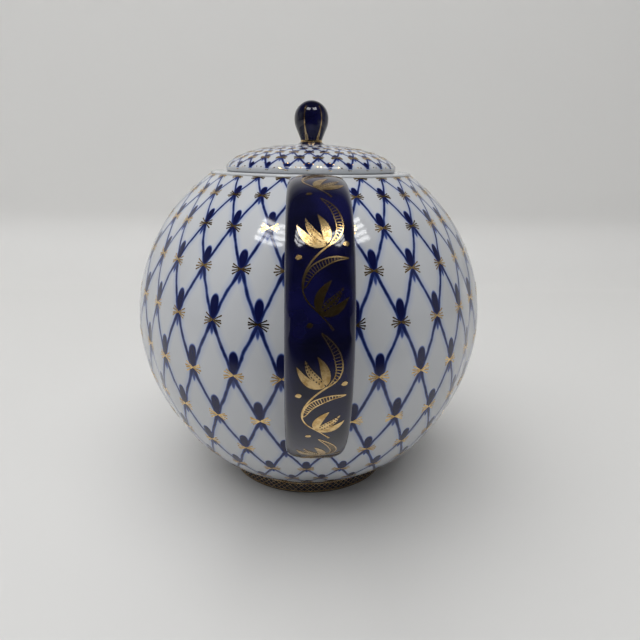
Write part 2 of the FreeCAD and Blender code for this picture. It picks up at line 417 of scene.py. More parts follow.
@dataclass
class Sheet:
    """A grid of points in rows, with a place in the pattern for each."""

    points: Array
    pattern: Array

    @classmethod
    def of(cls, points: Array, pattern: Union[Array, None] = None) -> "Sheet":
        """A sheet, with a plain pattern from 0 to 1 each way if none is given."""
        rows, columns = points.shape[:2]
        if pattern is None:
            pattern = stack(np.linspace(0, 1, columns)[None, :], np.linspace(0, 1, rows)[:, None])
        return cls(points, pattern)

    @classmethod
    def plain(cls, points: Array) -> "Sheet":
        """A sheet that the net leaves out."""
        return cls(points, np.broadcast_to(PLAIN_PLACE, (*points.shape[:2], 2)))

    def faces(self, start: int) -> Array:
        """Four-sided faces between the rows, with the first point numbered start."""
        rows, columns = self.points.shape[:2]
        number = start + np.arange(rows * columns).reshape(rows, columns)
        corners = (number[:-1, :-1], number[:-1, 1:], number[1:, 1:], number[1:, :-1])
        return np.stack(corners, axis=-1).reshape(-1, 4)


def make_piece(
    name: str, points: Array, faces: Array, pattern: Array, sharp: float = 38
) -> bpy.types.Object:
    """A mesh object in its place, with seams welded, faces outwards and a map named Pattern.

    Args:
        name: the piece's name.
        points: its points, as rows.
        faces: point numbers of its faces, four each.
        pattern: a place in the pattern for each point.
        sharp: edges that turn by more than this many degrees stay sharp.

    Returns:
        The object, linked to the scene.
    """
    mesh = bpy.data.meshes.new(name)
    mesh.vertices.add(len(points))
    mesh.vertices.foreach_set("co", np.ascontiguousarray(points, np.float32).ravel())
    mesh.loops.add(faces.size)
    mesh.loops.foreach_set("vertex_index", np.ascontiguousarray(faces, np.int32).ravel())
    mesh.polygons.add(len(faces))
    mesh.polygons.foreach_set("loop_start", np.arange(0, faces.size, 4, dtype=np.int32))
    mesh.update(calc_edges=True)
    layer = mesh.uv_layers.new(name="Pattern")
    layer.data.foreach_set("uv", np.ascontiguousarray(pattern[faces.ravel()], np.float32).ravel())
    work = bmesh.new()
    work.from_mesh(mesh)
    bmesh.ops.remove_doubles(work, verts=work.verts, dist=WELD)
    bmesh.ops.recalc_face_normals(work, faces=work.faces)
    work.to_mesh(mesh)
    work.free()
    mesh.polygons.foreach_set("use_smooth", np.ones(len(mesh.polygons), bool))
    mesh.set_sharp_from_angle(angle=math.radians(sharp))
    mesh.update()
    piece = bpy.data.objects.new(name, mesh)
    bpy.context.scene.collection.objects.link(piece)
    return piece


def from_sheets(name: str, sheets: Sequence[Sheet], sharp: float = 38) -> bpy.types.Object:
    """One piece from sheets whose edges meet."""
    starts = np.cumsum([0] + [s.points.shape[0] * s.points.shape[1] for s in sheets])
    faces = np.concatenate([s.faces(start) for s, start in zip(sheets, starts)])
    points = np.concatenate([s.points.reshape(-1, 3) for s in sheets])
    pattern = np.concatenate([s.pattern.reshape(-1, 2) for s in sheets])
    return make_piece(name, points, faces, pattern, sharp)


def closing_row(row: Array) -> Array:
    """A row of points, shape (1, n, 3), drawn together at their mean, which closes an end."""
    return np.broadcast_to(row.mean(axis=1, keepdims=True), row.shape)


def turned_sheet(profile: Line, columns: int) -> Sheet:
    """Points (distance from the axis, height), in order from outside to inside, carried round."""
    run = np.array(profile, float)
    azimuth = np.linspace(0, TURN, columns + 1)[None, :]
    reach, height = run[:, 0][:, None], run[:, 1][:, None]
    return Sheet.of(stack(reach * np.sin(azimuth), -reach * np.cos(azimuth), height))


def arc(
    centre: tuple[float, float], radius: float, start: float, end: float, count: int = 7
) -> Line:
    """Points of a round edge in the (distance, height) plane, between angles in degrees."""
    angles = np.radians(np.linspace(start, end, count))
    return [(centre[0] + radius * math.cos(a), centre[1] + radius * math.sin(a)) for a in angles]


def bore(
    piece: bpy.types.Object, starts: Sequence[Vector], direction: Vector,
    radius: float, depth: float,
) -> None:
    """Drills round holes through a piece.

    Args:
        piece: the mesh that is drilled.
        starts: where each drill starts.
        direction: the way the drills go.
        radius: radius of each hole.
        depth: how far the drills go.
    """
    work = bmesh.new()
    turn = Vector((0, 0, 1)).rotation_difference(direction).to_matrix().to_4x4()
    for start in starts:
        place = Matrix.Translation(start + direction * (depth / 2)) @ turn
        bmesh.ops.create_cone(
            work, cap_ends=True, segments=24, radius1=radius, radius2=radius, depth=depth,
            matrix=place,
        )
    mesh = bpy.data.meshes.new("drill")
    work.to_mesh(mesh)
    work.free()
    drill = bpy.data.objects.new("drill", mesh)
    bpy.context.scene.collection.objects.link(drill)
    cut = piece.modifiers.new("Holes", "BOOLEAN")
    cut.operation = "DIFFERENCE"
    cut.solver = "EXACT"
    cut.object = drill
    graph = bpy.context.evaluated_depsgraph_get()
    shape = bpy.data.meshes.new_from_object(piece.evaluated_get(graph))
    piece.modifiers.clear()
    piece.data = shape
    bpy.data.objects.remove(drill)


# ---------------------------------------------------------------- gilding

@dataclass
class Gilding:
    """Thin raised strokes laid on a surface, gathered into one piece.

    A stroke is a strip with square sides: its top stands proud of the surface and its underside
    lies below it, so that each stroke is a closed solid.
    """

    skin: Skin
    proud: float = 0.055 * MM
    sunk: float = 0.06 * MM
    points: list[Array] = field(default_factory=list)
    faces: list[Array] = field(default_factory=list)
    count: int = 0

    def _add(self, points: Array, faces: Array) -> None:
        """Adds points and the faces between them."""
        self.points.append(points.reshape(-1, 3))
        self.faces.append(faces + self.count)
        self.count += points.size // 3

    def prongs(
        self, places: Array, angles: Array, reach: tuple[Array, Array], width: tuple[float, float]
    ) -> None:
        """Straight prongs that point away from places, each a tapered bar of six faces.

        Args:
            places: parameters of the places, shape (n, 2).
            angles: direction of each prong from the way to the side, shape (n, k).
            reach: where each prong starts and ends, in metres from its place, each shape (n, k).
            width: half widths at the start and at the end.
        """
        run = stack(np.cos(angles), np.sin(angles))
        side = stack(-np.sin(angles), np.cos(angles))
        near, far = run * reach[0][..., None], run * reach[1][..., None]
        start, end = side * width[0], side * width[1]
        flat = np.stack([near - start, far - end, far + end, near + start], axis=-2)
        first, second = self.skin.near(places, flat)
        low = self.skin.lift(first, second, -self.sunk)
        high = self.skin.lift(first, second, self.proud)
        bars = np.stack([low, high], axis=-3).reshape(-1, 8, 3)
        sides = [[0, 1, 5, 4], [1, 2, 6, 5], [2, 3, 7, 6], [3, 0, 4, 7]]
        box = np.array([[0, 3, 2, 1], [4, 5, 6, 7], *sides])
        self._add(bars, (np.arange(len(bars))[:, None, None] * 8 + box).reshape(-1, 4))

    def stroke(
        self, line: Array, half: Array, proud: float = 1.0, cross: int = 2, closed: bool = False
    ) -> None:
        """One stroke along a line on the surface.

        Args:
            line: the middle of the stroke in the surface's parameters, shape (n, 2).
            half: half width at each point, in metres.
            proud: height, as a share of the gilding's own.
            cross: number of points across the top.
            closed: whether the stroke's ends meet.
        """
        across, along = self.skin.slopes(line[:, 0], line[:, 1])
        scale = stack(np.linalg.norm(across, axis=-1), np.linalg.norm(along, axis=-1))
        run = unit(np.gradient(line, axis=0) * scale)
        side = stack(-run[:, 1], run[:, 0]) / scale
        spread = np.linspace(-1, 1, cross)[None, :, None]
        top = line[:, None, :] + side[:, None, :] * spread * half[:, None, None]
        edges = top[:, [0, -1], :]
        high = self.skin.lift(top[..., 0], top[..., 1], self.proud * proud)
        low = self.skin.lift(edges[..., 0], edges[..., 1], -self.sunk)
        ring = np.concatenate([low[:, :1], high, low[:, 1:], low[:, :1]], axis=1)
        if not closed:
            start, end = closing_row(ring[:1]), closing_row(ring[-1:])
            ring = np.concatenate([start, ring, end])
        self._add(ring, Sheet.of(ring).faces(0))

    def piece(self, name: str) -> bpy.types.Object:
        """The gathered strokes as one object."""
        points, faces = np.concatenate(self.points), np.concatenate(self.faces)
        return make_piece(name, points, faces, np.zeros((len(points), 2)), sharp=50)


@dataclass(frozen=True)
class Bow:
    """A gilt bow: a fan of four prongs to each side, a little different each time."""

    name: str
    fan: tuple[float, ...]             # directions of the prongs, in degrees
    reach: float
    spread: tuple[float, float]        # shortest and longest reach, as shares
    tip: float                         # half width of a prong's far end
    waver: float                       # of each prong's direction, in radians
    seed: int
    lean: float = 0.0                  # of the whole bow, in radians

    def lay(self, skin: Skin, places: Array, size: Array) -> bpy.types.Object:
        """Bows at places on a surface.

        Args:
            skin: the surface.
            places: parameters of the places, shape (n, 2).
            size: size of each bow.

        Returns:
            The piece that holds them all.
        """
        rng = np.random.default_rng(self.seed)
        fan = np.radians(self.fan)
        shape = (len(places), 2 * len(fan))
        angles = np.concatenate([fan, math.pi - fan])[None, :] + rng.normal(0, self.waver, shape)
        if self.lean:
            angles = angles + rng.normal(0, self.lean, (len(places), 1))
        reach = self.reach * size[:, None] * rng.uniform(*self.spread, shape)
        gilding = Gilding(skin)
        gilding.prongs(places, angles, (reach * 0.02, reach), (0.12 * MM, self.tip))
        return gilding.piece(self.name)


# ---------------------------------------------------------------- materials

class Paint:
    """A material or world under construction: adds nodes and hands out their sockets."""

    def __init__(self, name: str, owner: Union[bpy.types.World, None] = None) -> None:
        self.material = owner or bpy.data.materials.new(name)
        self.material.use_nodes = True
        self.tree = self.material.node_tree
        self.tree.nodes.clear()

    def node(
        self, kind: str, settings: dict[str, Any], sockets: dict[Any, Any], out: Any = 0
    ) -> "Value":
        """Adds a node.

        Args:
            kind: the node's type.
            settings: its settings, which are set first; "stops" are a ramp's (place, colour) pairs.
            sockets: values or links of its inputs, by name or number.
            out: the output that is handed back.

        Returns:
            The output's value.
        """
        made = self.tree.nodes.new(kind)
        for key, value in settings.items():
            if key == "stops":
                self._stops(made.color_ramp, value)
            else:
                setattr(made, key, value)
        for key, value in sockets.items():
            if isinstance(value, Value):
                self.tree.links.new(value.socket, made.inputs[key])
            else:
                made.inputs[key].default_value = value
        return Value(self, made.outputs[out]) if len(made.outputs) else Value(self, None)

    @staticmethod
    def _stops(ramp: bpy.types.ColorRamp, stops: Sequence[tuple[float, Colour]]) -> None:
        """Sets a ramp's stops."""
        for extra in range(len(stops) - len(ramp.elements)):
            ramp.elements.new(0.5 + 0.01 * extra)
        for element, (place, _) in zip(ramp.elements, stops):
            element.position = place
        for element, (_, colour) in zip(ramp.elements, stops):
            element.color = (*colour, 1.0)

    def pattern(self) -> tuple["Value", "Value"]:
        """The two coordinates of the piece's own map."""
        place = self.node("ShaderNodeUVMap", {"uv_map": "Pattern"}, {})
        return self.part(place, 0), self.part(place, 1)

    def part(self, vector: "Value", axis: int) -> "Value":
        """One coordinate of a vector."""
        return self.node("ShaderNodeSeparateXYZ", {}, {0: vector}, axis)

    def vector(self, operation: str, *inputs: Any, out: int = 0) -> "Value":
        """One Vector Math node."""
        sockets = dict(enumerate(inputs))
        return self.node("ShaderNodeVectorMath", {"operation": operation}, sockets, out)

    def place(self) -> "Value":
        """Object coordinates, which are the frame's own."""
        return self.node("ShaderNodeTexCoord", {}, {}, "Object")

    def noise(
        self, size: float, detail: float = 2.0, rough: float = 0.5, shift: Colour = (0, 0, 0)
    ) -> "Value":
        """Soft noise around 0.5, with features of about this many metres."""
        place = self.vector("ADD", self.place(), shift)
        sockets = {"Vector": place, "Scale": 1 / size, "Detail": detail, "Roughness": rough}
        return self.node("ShaderNodeTexNoise", {}, sockets, 0)

    def ramp(self, value: "Value", stops: Sequence[tuple[float, Colour]]) -> "Value":
        """A colour from a value."""
        return self.node("ShaderNodeValToRGB", {"stops": stops}, {0: value})

    def blend(self, share: "Value", first: Any, second: Any) -> "Value":
        """A colour between two colours."""
        colours = [(*c, 1.0) if isinstance(c, tuple) else c for c in (first, second)]
        sockets = {0: share, 6: colours[0], 7: colours[1]}
        return self.node("ShaderNodeMix", {"data_type": "RGBA"}, sockets, 2)

    def finish(
        self, colour: Any, roughness: Any, metallic: float = 0.0,
        bump: Union["Value", None] = None, depth: float = 0.0,
    ) -> bpy.types.Material:
        """Closes the material.

        Args:
            colour: base colour.
            roughness: roughness of the surface.
            metallic: 0 for glaze and 1 for gold.
            bump: height of the surface's waviness, from 0 to 1.
            depth: metres of height that 1 stands for.

        Returns:
            The material.
        """
        colour = (*colour, 1.0) if isinstance(colour, tuple) else colour
        sockets: dict[Any, Any] = {"Base Color": colour, "Roughness": roughness}
        sockets |= {"Metallic": metallic, "IOR": GLAZE_IOR}
        if bump is not None:
            waves = {"Strength": 1.0, "Distance": depth, "Height": bump}
            sockets["Normal"] = self.node("ShaderNodeBump", {}, waves)
        shader = self.node("ShaderNodeBsdfPrincipled", {}, sockets)
        self.node("ShaderNodeOutputMaterial", {}, {"Surface": shader})
        return self.material


class Value:
    """A socket of a material under construction; expressions on it add Math nodes."""

    def __init__(self, paint: Paint, socket: Any) -> None:
        self.paint, self.socket = paint, socket

    def _math(self, operation: str, *inputs: Any) -> "Value":
        """One Math node."""
        return self.paint.node("ShaderNodeMath", {"operation": operation}, dict(enumerate(inputs)))

    def __add__(self, other: Any) -> "Value":
        return self._math("ADD", self, other)

    def __radd__(self, other: Any) -> "Value":
        return self._math("ADD", other, self)

    def __sub__(self, other: Any) -> "Value":
        return self._math("SUBTRACT", self, other)

    def __rsub__(self, other: Any) -> "Value":
        return self._math("SUBTRACT", other, self)

    def __mul__(self, other: Any) -> "Value":
        return self._math("MULTIPLY", self, other)

    def __rmul__(self, other: Any) -> "Value":
        return self._math("MULTIPLY", other, self)

    def __truediv__(self, other: Any) -> "Value":
        return self._math("DIVIDE", self, other)

    def __abs__(self) -> "Value":
        return self._math("ABSOLUTE", self)

    def __round__(self) -> "Value":
        return self._math("ROUND", self)

    def least(self, other: Any) -> "Value":
        """The lower of two values."""
        return self._math("MINIMUM", self, other)

    def most(self, other: Any) -> "Value":
        """The higher of two values."""
        return self._math("MAXIMUM", self, other)

    def with_side(self, other: "Value") -> "Value":
        """Length of the longest side of the right triangle that has these as its other sides."""
        return self._math("SQRT", self * self + other * other)

    def rise(self, low: float, high: float) -> "Value":
        """0 below low, 1 above high and an S-curve between; low may be the greater."""
        flip = low > high
        ends = {1: min(low, high), 2: max(low, high), 3: float(flip), 4: float(not flip)}
        settings = {"interpolation_type": "SMOOTHSTEP"}
        return self.paint.node("ShaderNodeMapRange", settings, {0: self} | ends)


WHITE_GLAZE: Colour = (0.55, 0.565, 0.59)
COBALT_BLEED: list[tuple[float, Colour]] = [
    (0.0, WHITE_GLAZE),
    (0.20, (0.40, 0.45, 0.58)),
    (0.50, (0.075, 0.115, 0.34)),
    (0.80, (0.015, 0.026, 0.115)),
    (1.0, (0.004, 0.006, 0.050)),
]


@dataclass(frozen=True)
class WhiteGlaze:
    """Glossy white porcelain, very slightly uneven."""

    name: str = "white_glaze"
    roughness: float = 0.07

    def make(self) -> bpy.types.Material:
        """The material."""
        paint = Paint(self.name)
        tone = paint.noise(14 * MM)
        warmer = tuple(c * w for c, w in zip(WHITE_GLAZE, (0.97, 0.965, 0.95)))
        colour = paint.blend(tone, WHITE_GLAZE, warmer)
        waves = paint.noise(9 * MM, 1.0)
        return paint.finish(colour, self.roughness + 0.03 * tone, bump=waves, depth=0.03 * MM)


@dataclass(frozen=True)
class NetGlaze:
    """White glaze with the painted cobalt net, drawn in the piece's own map.

    The map counts columns across and rows down. Crossings lie where column and half row add and
    take away to whole numbers, and everything else is drawn from the way to the nearest one.
    Lengths are in millimetres of the brush: on a piece painted with a finer brush they are
    smaller by the brush's size.
    """

    name: str
    cell: tuple[float, float]      # a column's width and a row's height, in true millimetres
    line: float = 0.24             # half width of a line's dark core
    bleed: float = 0.76            # half width where its blurred edge ends
    haze: tuple[float, float] = (2.6, 0.16)                # reach and depth of the tint beside it
    drop: tuple[float, float] = (3.45, 3.3)                # the drop's middle, and half its height
    drop_width: tuple[float, float] = (0.96, 0.11)         # half width at the crossing, and growth
    tail: tuple[float, float, float] = (-2.4, 2.0, 0.62)   # middle, half height and half width
    brush: float = 1.0             # size of the brush beside the pot's
    waver: float = 0.10            # how far a line strays, in columns
    rings: Union[tuple[float, float, int], None] = None    # radius, loop's radius, columns for each
    end: float = 99.0              # row below which the glaze is plain
    columns: int = 28              # columns all round, for the loops

    def make(self) -> bpy.types.Material:
        """The material."""
        paint = Paint(self.name)
        column, row = paint.pattern()
        wander = (paint.noise(7 * MM, 1.0) - 0.5) * self.waver
        sway = (paint.noise(9 * MM, 1.0, shift=(0.3, 0.1, 0.7)) - 0.5) * self.waver
        rising, falling = column + row * 0.5 + wander, column - row * 0.5 + sway
        off_rising, off_falling = rising - round(rising), falling - round(falling)
        width, height = (length / self.brush for length in self.cell)
        side = (off_rising + off_falling) * (0.5 * width)
        up = (off_falling - off_rising) * height
        tilt = width * height / math.hypot(width / 2, height)
        nearest = abs(off_rising).least(abs(off_falling)) * tilt
        distance = side.with_side(up)
        patchy = paint.noise(2.4 * MM, 2.0, shift=(0.9, 0.2, 0.4))
        thick = distance.rise(5.0, 1.0) * 0.25 + (patchy - 0.5) * 0.26
        lines = (nearest - thick).rise(self.bleed, self.line * 0.4)
        haze = (nearest - thick).rise(self.haze[0], 0.2) * self.haze[1]
        middle, half = self.drop
        wide = self.drop_width[0] + self.drop_width[1] * up
        drop = (side / wide).with_side((up - middle) / half).rise(1.14, 0.80)
        middle, half, wide = self.tail
        tail = (side / wide).with_side((up - middle) / half).rise(1.25, 0.45) * 0.66
        strength = 0.66 + 0.42 * patchy
        ink = (lines * (strength - 0.14)).most(drop * (strength + 0.12))
        ink = ink.most(tail * strength) + haze
        if self.rings:
            ink = self._ring_motif(paint, column, ink)
        ink = ink * row.rise(-2.0, -1.0) * row.rise(self.end + 0.16, self.end + 0.02)
        colour = paint.ramp(ink.least(1.0), COBALT_BLEED)
        bump = paint.noise(11 * MM, 1.0)
        return paint.finish(colour, 0.065 + 0.03 * patchy, bump=bump, depth=0.06 * MM)

    def _ring_motif(self, paint: Paint, column: Value, ink: Value) -> Value:
        """A circle of small loops round the knob, in place of the net there."""
        radius, loop, per = self.rings
        flat = paint.vector("MULTIPLY", paint.place(), (1, 1, 0))
        out = paint.vector("LENGTH", flat, out=1) * (1 / MM)
        turn = column / per
        side = (turn - round(turn)) * out * (TURN * per / self.columns)
        up = out - radius
        away = side.with_side(up)
        loops = abs(away - loop).rise(0.42, 0.14)
        centre = away.rise(0.75, 0.3) * 0.8
        lower = abs(out - (radius + loop + 0.55)).rise(0.40, 0.10) * 0.9
        inner = abs(out - (radius - loop - 0.1)).rise(0.5, 0.12)
        motif = loops.most(centre).most(lower).most(inner)
        near = out.rise(radius + loop + 1.0, radius + loop + 0.5)
        return ink * (1 - near) + motif * near


@dataclass(frozen=True)
class CobaltGlaze:
    """Deep cobalt under a clear gloss, almost black."""

    name: str = "cobalt_glaze"
    dark: Colour = (0.0028, 0.0030, 0.013)
    blue: Colour = (0.006, 0.006, 0.045)

    def make(self) -> bpy.types.Material:
        """The material."""
        paint = Paint(self.name)
        cloud = paint.noise(10 * MM, 3.0)
        colour = paint.blend(cloud.rise(0.35, 0.7), self.dark, self.blue)
        waves = paint.noise(12 * MM, 1.0)
        return paint.finish(colour, 0.05 + 0.03 * cloud, bump=waves, depth=0.02 * MM)


@dataclass(frozen=True)
class FootBand:
    """Cobalt band with a bare, unglazed edge where the ring rests."""

    name: str = "cobalt_foot_band"
    dark: Colour = (0.004, 0.004, 0.012)
    blue: Colour = (0.012, 0.012, 0.05)
    bare: Colour = (0.62, 0.59, 0.54)

    def make(self) -> bpy.types.Material:
        """The material."""
        paint = Paint(self.name)
        height = paint.part(paint.place(), 2) * (1 / MM)
        grain = paint.noise(0.4 * MM, 3.0)
        cloud = paint.noise(6 * MM)
        worn = (height + (cloud - 0.5) * 0.3).rise(0.55, 0.35)
        cobalt = paint.blend(cloud, self.dark, self.blue)
        bare = paint.blend(grain, self.bare, tuple(c * 0.8 for c in self.bare))
        colour = paint.blend(worn, cobalt, bare)
        return paint.finish(colour, 0.1 + 0.6 * worn, bump=grain * worn, depth=0.05 * MM)


@dataclass(frozen=True)
class Gold:
    """Burnished gilding, a little worn and uneven in tone."""

    name: str = "burnished_gold"
    bright: Colour = (0.83, 0.60, 0.29)
    deep: Colour = (0.50, 0.32, 0.12)
    roughness: float = 0.17

    def make(self) -> bpy.types.Material:
        """The material."""
        paint = Paint(self.name)
        tone = paint.noise(1.6 * MM, 3.0, 0.6)
        colour = paint.blend(tone.rise(0.38, 0.66), self.bright, self.deep)
        grain = paint.noise(0.25 * MM, 2.0)
        return paint.finish(colour, self.roughness + 0.12 * tone, 1.0, bump=grain, depth=0.006 * MM)


# ---------------------------------------------------------------- the pieces

def place_piece(
    piece: bpy.types.Object, material: bpy.types.Material, body: Body, slot: Slot, *nodes: str
) -> None:
    """Dresses a piece, sets it on its body and names the CAD nodes that it stands for."""
    piece.data.materials.clear()
    piece.data.materials.append(material)
    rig.ride(piece, body.value)
    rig.slot(piece, slot.value)
    if nodes:
        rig.replaces(piece, *nodes)
    LOG.info("%s: %d faces on %s", piece.name, len(piece.data.polygons), body.value)


@dataclass
class PotBody:
    """The lobed body with its painted net and the gilt crosses over the net's crossings."""

    crest: float = 60 * MM
    shave: float = 0.08 * MM           # keeps the gilding inside the crest
    wall: float = 3 * MM
    floor: float = 3.6 * MM
    foot_radius: float = 29.4 * MM
    seat_radius: float = 31.9 * MM
    collar_thickness: float = 3.8 * MM
    collar_rise: float = 0.7 * MM
    columns: int = 28                  # meshes of the net round the body
    first_column: float = -2.1         # azimuth of a column beside the handle, in degrees
    rows: tuple[float, ...] = (        # latitudes of the rows of crossings, in degrees
        55.8, 48.4, 38.1, 26.4, 12.7, -1.3, -14.6, -26.4, -37.0, -46.0, -54.0, -60.5,
    )
    strainer: tuple[float, float] = (1.5 * MM, 5.2 * MM)     # radius and pitch of its holes
    root_drop: float = 13.7 * MM       # from the body's centre down to the spout's root

    def __post_init__(self) -> None:
        low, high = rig.box("body_shell")
        self.bottom, self.top = low.z, high.z
        self.middle = self.bottom + math.sqrt(self.crest**2 - self.foot_radius**2)
        self.radius = self.crest - self.shave
        self.low = math.asin((self.bottom - self.middle) / self.radius)
        self.high = math.asin((self.top - self.middle) / self.radius)
        self.skin = LobedSphere(self.radius, self.middle, self.low, self.high)

    def row_at(self, latitude: Array) -> Array:
        """Rows counted down from the mouth, between the latitudes where the rows lie."""
        rows = np.radians(self.rows[::-1])
        return np.interp(latitude, rows, np.arange(len(rows))[::-1])

    def shell(self) -> bpy.types.Object:
        """Outside, mouth, inside and floor as one closed wall, pierced behind the spout."""
        count = 420
        azimuth = np.linspace(0, TURN, count + 1)[None, :]
        latitude = np.linspace(self.low, self.high, 132)[:, None]
        outer = self.skin.base(azimuth, latitude)
        column = (np.degrees(azimuth) - self.first_column) * self.columns / 360
        net = stack(column, self.row_at(latitude))
        inner_skin = LobedSphere(self.radius - self.wall, self.middle, self.low, self.high)
        underside = self.top + self.collar_rise - self.collar_thickness
        inner_high = math.asin((underside - self.middle) / inner_skin.radius)
        inner_low = math.asin((self.bottom + self.floor - self.middle) / inner_skin.radius)
        inner = inner_skin.base(azimuth, np.linspace(inner_high, inner_low, 44)[:, None])
        base = outer[0] * np.linspace(0, 1, 8)[:, None, None]
        base[..., 2] = self.bottom
        floor = inner[-1] * np.linspace(1, 0, 10)[:, None, None]
        floor[..., 2] = self.bottom + self.floor
        seat = [(self.seat_radius, height) for height in (self.top, underside)]
        seat = turned_sheet(seat, count).points
        inside = Sheet.plain(np.concatenate([outer[-1:], seat, inner, floor[1:]]))
        piece = from_sheets("pot_body", [Sheet.plain(base), Sheet.of(outer, net), inside])
        self._pierce(piece)
        return piece

    def _pierce(self, piece: bpy.types.Object) -> None:
        """Drills the strainer: a hole in the middle and two rings of holes round it."""
        hole, pitch = self.strainer
        reach = math.sqrt(self.crest**2 - self.root_drop**2)
        root = Vector((0, reach, self.middle - self.root_drop))
        out = (root - Vector((0, 0, self.middle))).normalized()
        side = Vector((1, 0, 0))
        up = out.cross(side)
        steps = [(c, r) for c in range(-2, 3) for r in range(-2, 3) if abs(c + r) <= 2]
        behind = root - out * (3 * self.wall)
        starts = [behind + side * (pitch * (c + r / 2)) + up * (pitch * r * math.sqrt(3) / 2)
                  for c, r in steps]
        bore(piece, starts, out, hole, 5 * self.wall)

    def crossings(self) -> Array:
        """Azimuth and latitude of the net's crossings, clear of the handle and the spout."""
        counts = np.arange(len(self.rows) - 1), np.arange(self.columns)
        row, column = np.meshgrid(*counts, indexing="ij")
        turn = np.radians((column + (row % 2) / 2) * 360 / self.columns + self.first_column)
        turn = (turn + math.pi) % TURN - math.pi
        found = stack(turn, np.radians(self.rows)[row]).reshape(-1, 2)
        aside, level = np.abs(np.degrees(found[:, 0])), np.degrees(found[:, 1])
        under_strap = (aside < 9) & ((level > 44) | (np.abs(level + 21) < 8))
        round_spout = np.hypot((aside - 180) * np.cos(found[:, 1]), level + 14) < 17
        return found[~(under_strap | round_spout)]

    def marks(self) -> bpy.types.Object:
        """A gilt bow on each crossing."""
        bow = Bow("pot_gilt_bows", (-30, -10.5, 10.5, 30), 3.05 * MM, (0.86, 1.06), 0.20 * MM,
                  waver=0.045, seed=28, lean=0.06)
        places = self.crossings()
        return bow.lay(self.skin, places, np.cos(places[:, 1]) ** 0.55)

    def build(self, gold: bpy.types.Material) -> None:
        """Makes and dresses the body and its gilding."""
        net = NetGlaze("cobalt_net_on_white", (13.46, 14.2)).make()
        place_piece(self.shell(), net, Body.POT, Slot.NET, "body_shell")
        place_piece(self.marks(), gold, Body.POT, Slot.NET)


@dataclass
class Foot:
    """The foot ring, a cobalt band with a gilt lattice."""

    wall: float = 3.6 * MM
    edge: float = 0.8 * MM
    lozenges: int = 92
    lattice: float = 0.065 * MM        # half width of the lattice's lines
    border: float = 0.11 * MM          # and of the lines above and below it

    def build(self, gold: bpy.types.Material) -> None:
        """Makes the ring, and the lattice on its outside."""
        outer, _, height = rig.box("foot_ring")[1]
        inner, edge = outer - self.wall, self.edge
        profile = [(outer, height)] + arc((outer - edge, edge), edge, 0, -90)
        profile += arc((inner + edge, edge), edge, -90, -180) + [(inner, height), (outer, height)]
        ring = from_sheets("foot_band", [turned_sheet(profile, 240)])
        place_piece(ring, FootBand().make(), Body.POT, Slot.BAND, "foot_ring")
        skin = Turned(Curve([(outer, 0.0), (outer, height / 2), (outer, height)]))
        gilding = Gilding(skin, proud=0.05 * MM)
        bottom, top = (edge + 0.15 * MM) / height, 1 - 0.35 * MM / height
        azimuth = np.arange(self.lozenges) * TURN / self.lozenges
        places = stack(azimuth, (bottom + top) / 2)
        tall = (top - bottom) * height
        lean = math.atan2(tall, 2 * TURN * outer / self.lozenges)
        half = np.full((self.lozenges, 4), 0.5 * tall / math.sin(lean))
        angles = np.broadcast_to([lean, math.pi - lean, math.pi + lean, -lean], (self.lozenges, 4))
        gilding.prongs(places, angles, (half * 0, half), (self.lattice, self.lattice))
        around = np.linspace(0, TURN, 181)
        for level in (bottom, top):
            half = np.full(len(around), self.border)
            gilding.stroke(stack(around, level), half, closed=True)
        place_piece(gilding.piece("foot_gilt_lattice"), gold, Body.POT, Slot.BAND)


@dataclass
class Collar:
    """The flat white rim round the mouth."""

    edge: float = 0.6 * MM
    rise: float = 0.7 * MM
    mouth: float = 24.3 * MM
    ledge: float = 1.7 * MM

    def build(self, white: bpy.types.Material) -> None:
        """Makes the rim."""
        low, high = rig.box("mouth_collar")
        outer, top, bottom = high.x, high.z, low.z
        seat, shoulder = outer - self.ledge, top - self.rise
        profile = [(seat, bottom), (seat, shoulder), (outer, shoulder)]
        profile += arc((outer - self.rise, shoulder), self.rise, 0, 90)
        profile += arc((self.mouth + self.edge, top - self.edge), self.edge, 90, 180)
        profile += [(self.mouth, bottom), (seat, bottom)]
        rim = from_sheets("mouth_rim", [turned_sheet(profile, 240)])
        place_piece(rim, white, Body.POT, Slot.WHITE, "mouth_collar")


@dataclass
class Scroll:
    """One repeat of the gilt scroll: a vine with two ladder leaves, two tulips and a few drops.

    Lines are in millimetres: to the right seen from outside, and down the strap.
    """

    pitch: float = 27.2
    vine: Line = field(default_factory=lambda: [
        (1.7, 11.3), (-0.3, 12.9), (-2.4, 15.3), (-3.5, 17.9), (-3.5, 19.8),
        (-2.4, 21.9), (-0.3, 23.8), (1.4, 25.5), (2.6, 26.9),
    ])
    right_leaf: Line = field(default_factory=lambda: [
        (0.2, 0.2), (1.9, 1.4), (3.5, 3.2), (4.5, 5.6), (4.6, 7.8), (3.7, 9.8), (1.7, 11.4),
    ])
    left_leaf: Line = field(default_factory=lambda: [
        (-3.5, 19.4), (-3.1, 17.2), (-1.9, 15.4), (0.1, 14.2), (2.7, 13.5), (5.6, 13.6),
    ])
    left_tulip: list[Line] = field(default_factory=lambda: [
        [(1.2, 11.2), (-1.4, 10.9), (-3.3, 9.4), (-4.7, 7.1)],
        [(1.0, 11.0), (-0.7, 9.6), (-2.1, 7.9), (-3.0, 5.6)],
        [(1.4, 11.0), (1.3, 8.9), (0.7, 6.8), (-0.5, 4.8)],
    ])
    right_tulip: list[Line] = field(default_factory=lambda: [
        [(-0.4, 23.6), (-0.4, 21.6), (0.5, 19.7), (2.2, 17.8)],
        [(-0.2, 23.6), (1.6, 22.2), (3.1, 20.9), (4.6, 19.0)],
        [(-0.2, 23.8), (2.2, 23.5), (4.0, 22.5), (5.6, 20.8)],
    ])
    drops: Line = field(default_factory=lambda: [(5.1, 10.8), (-4.4, 13.6), (-2.2, 26.0)])


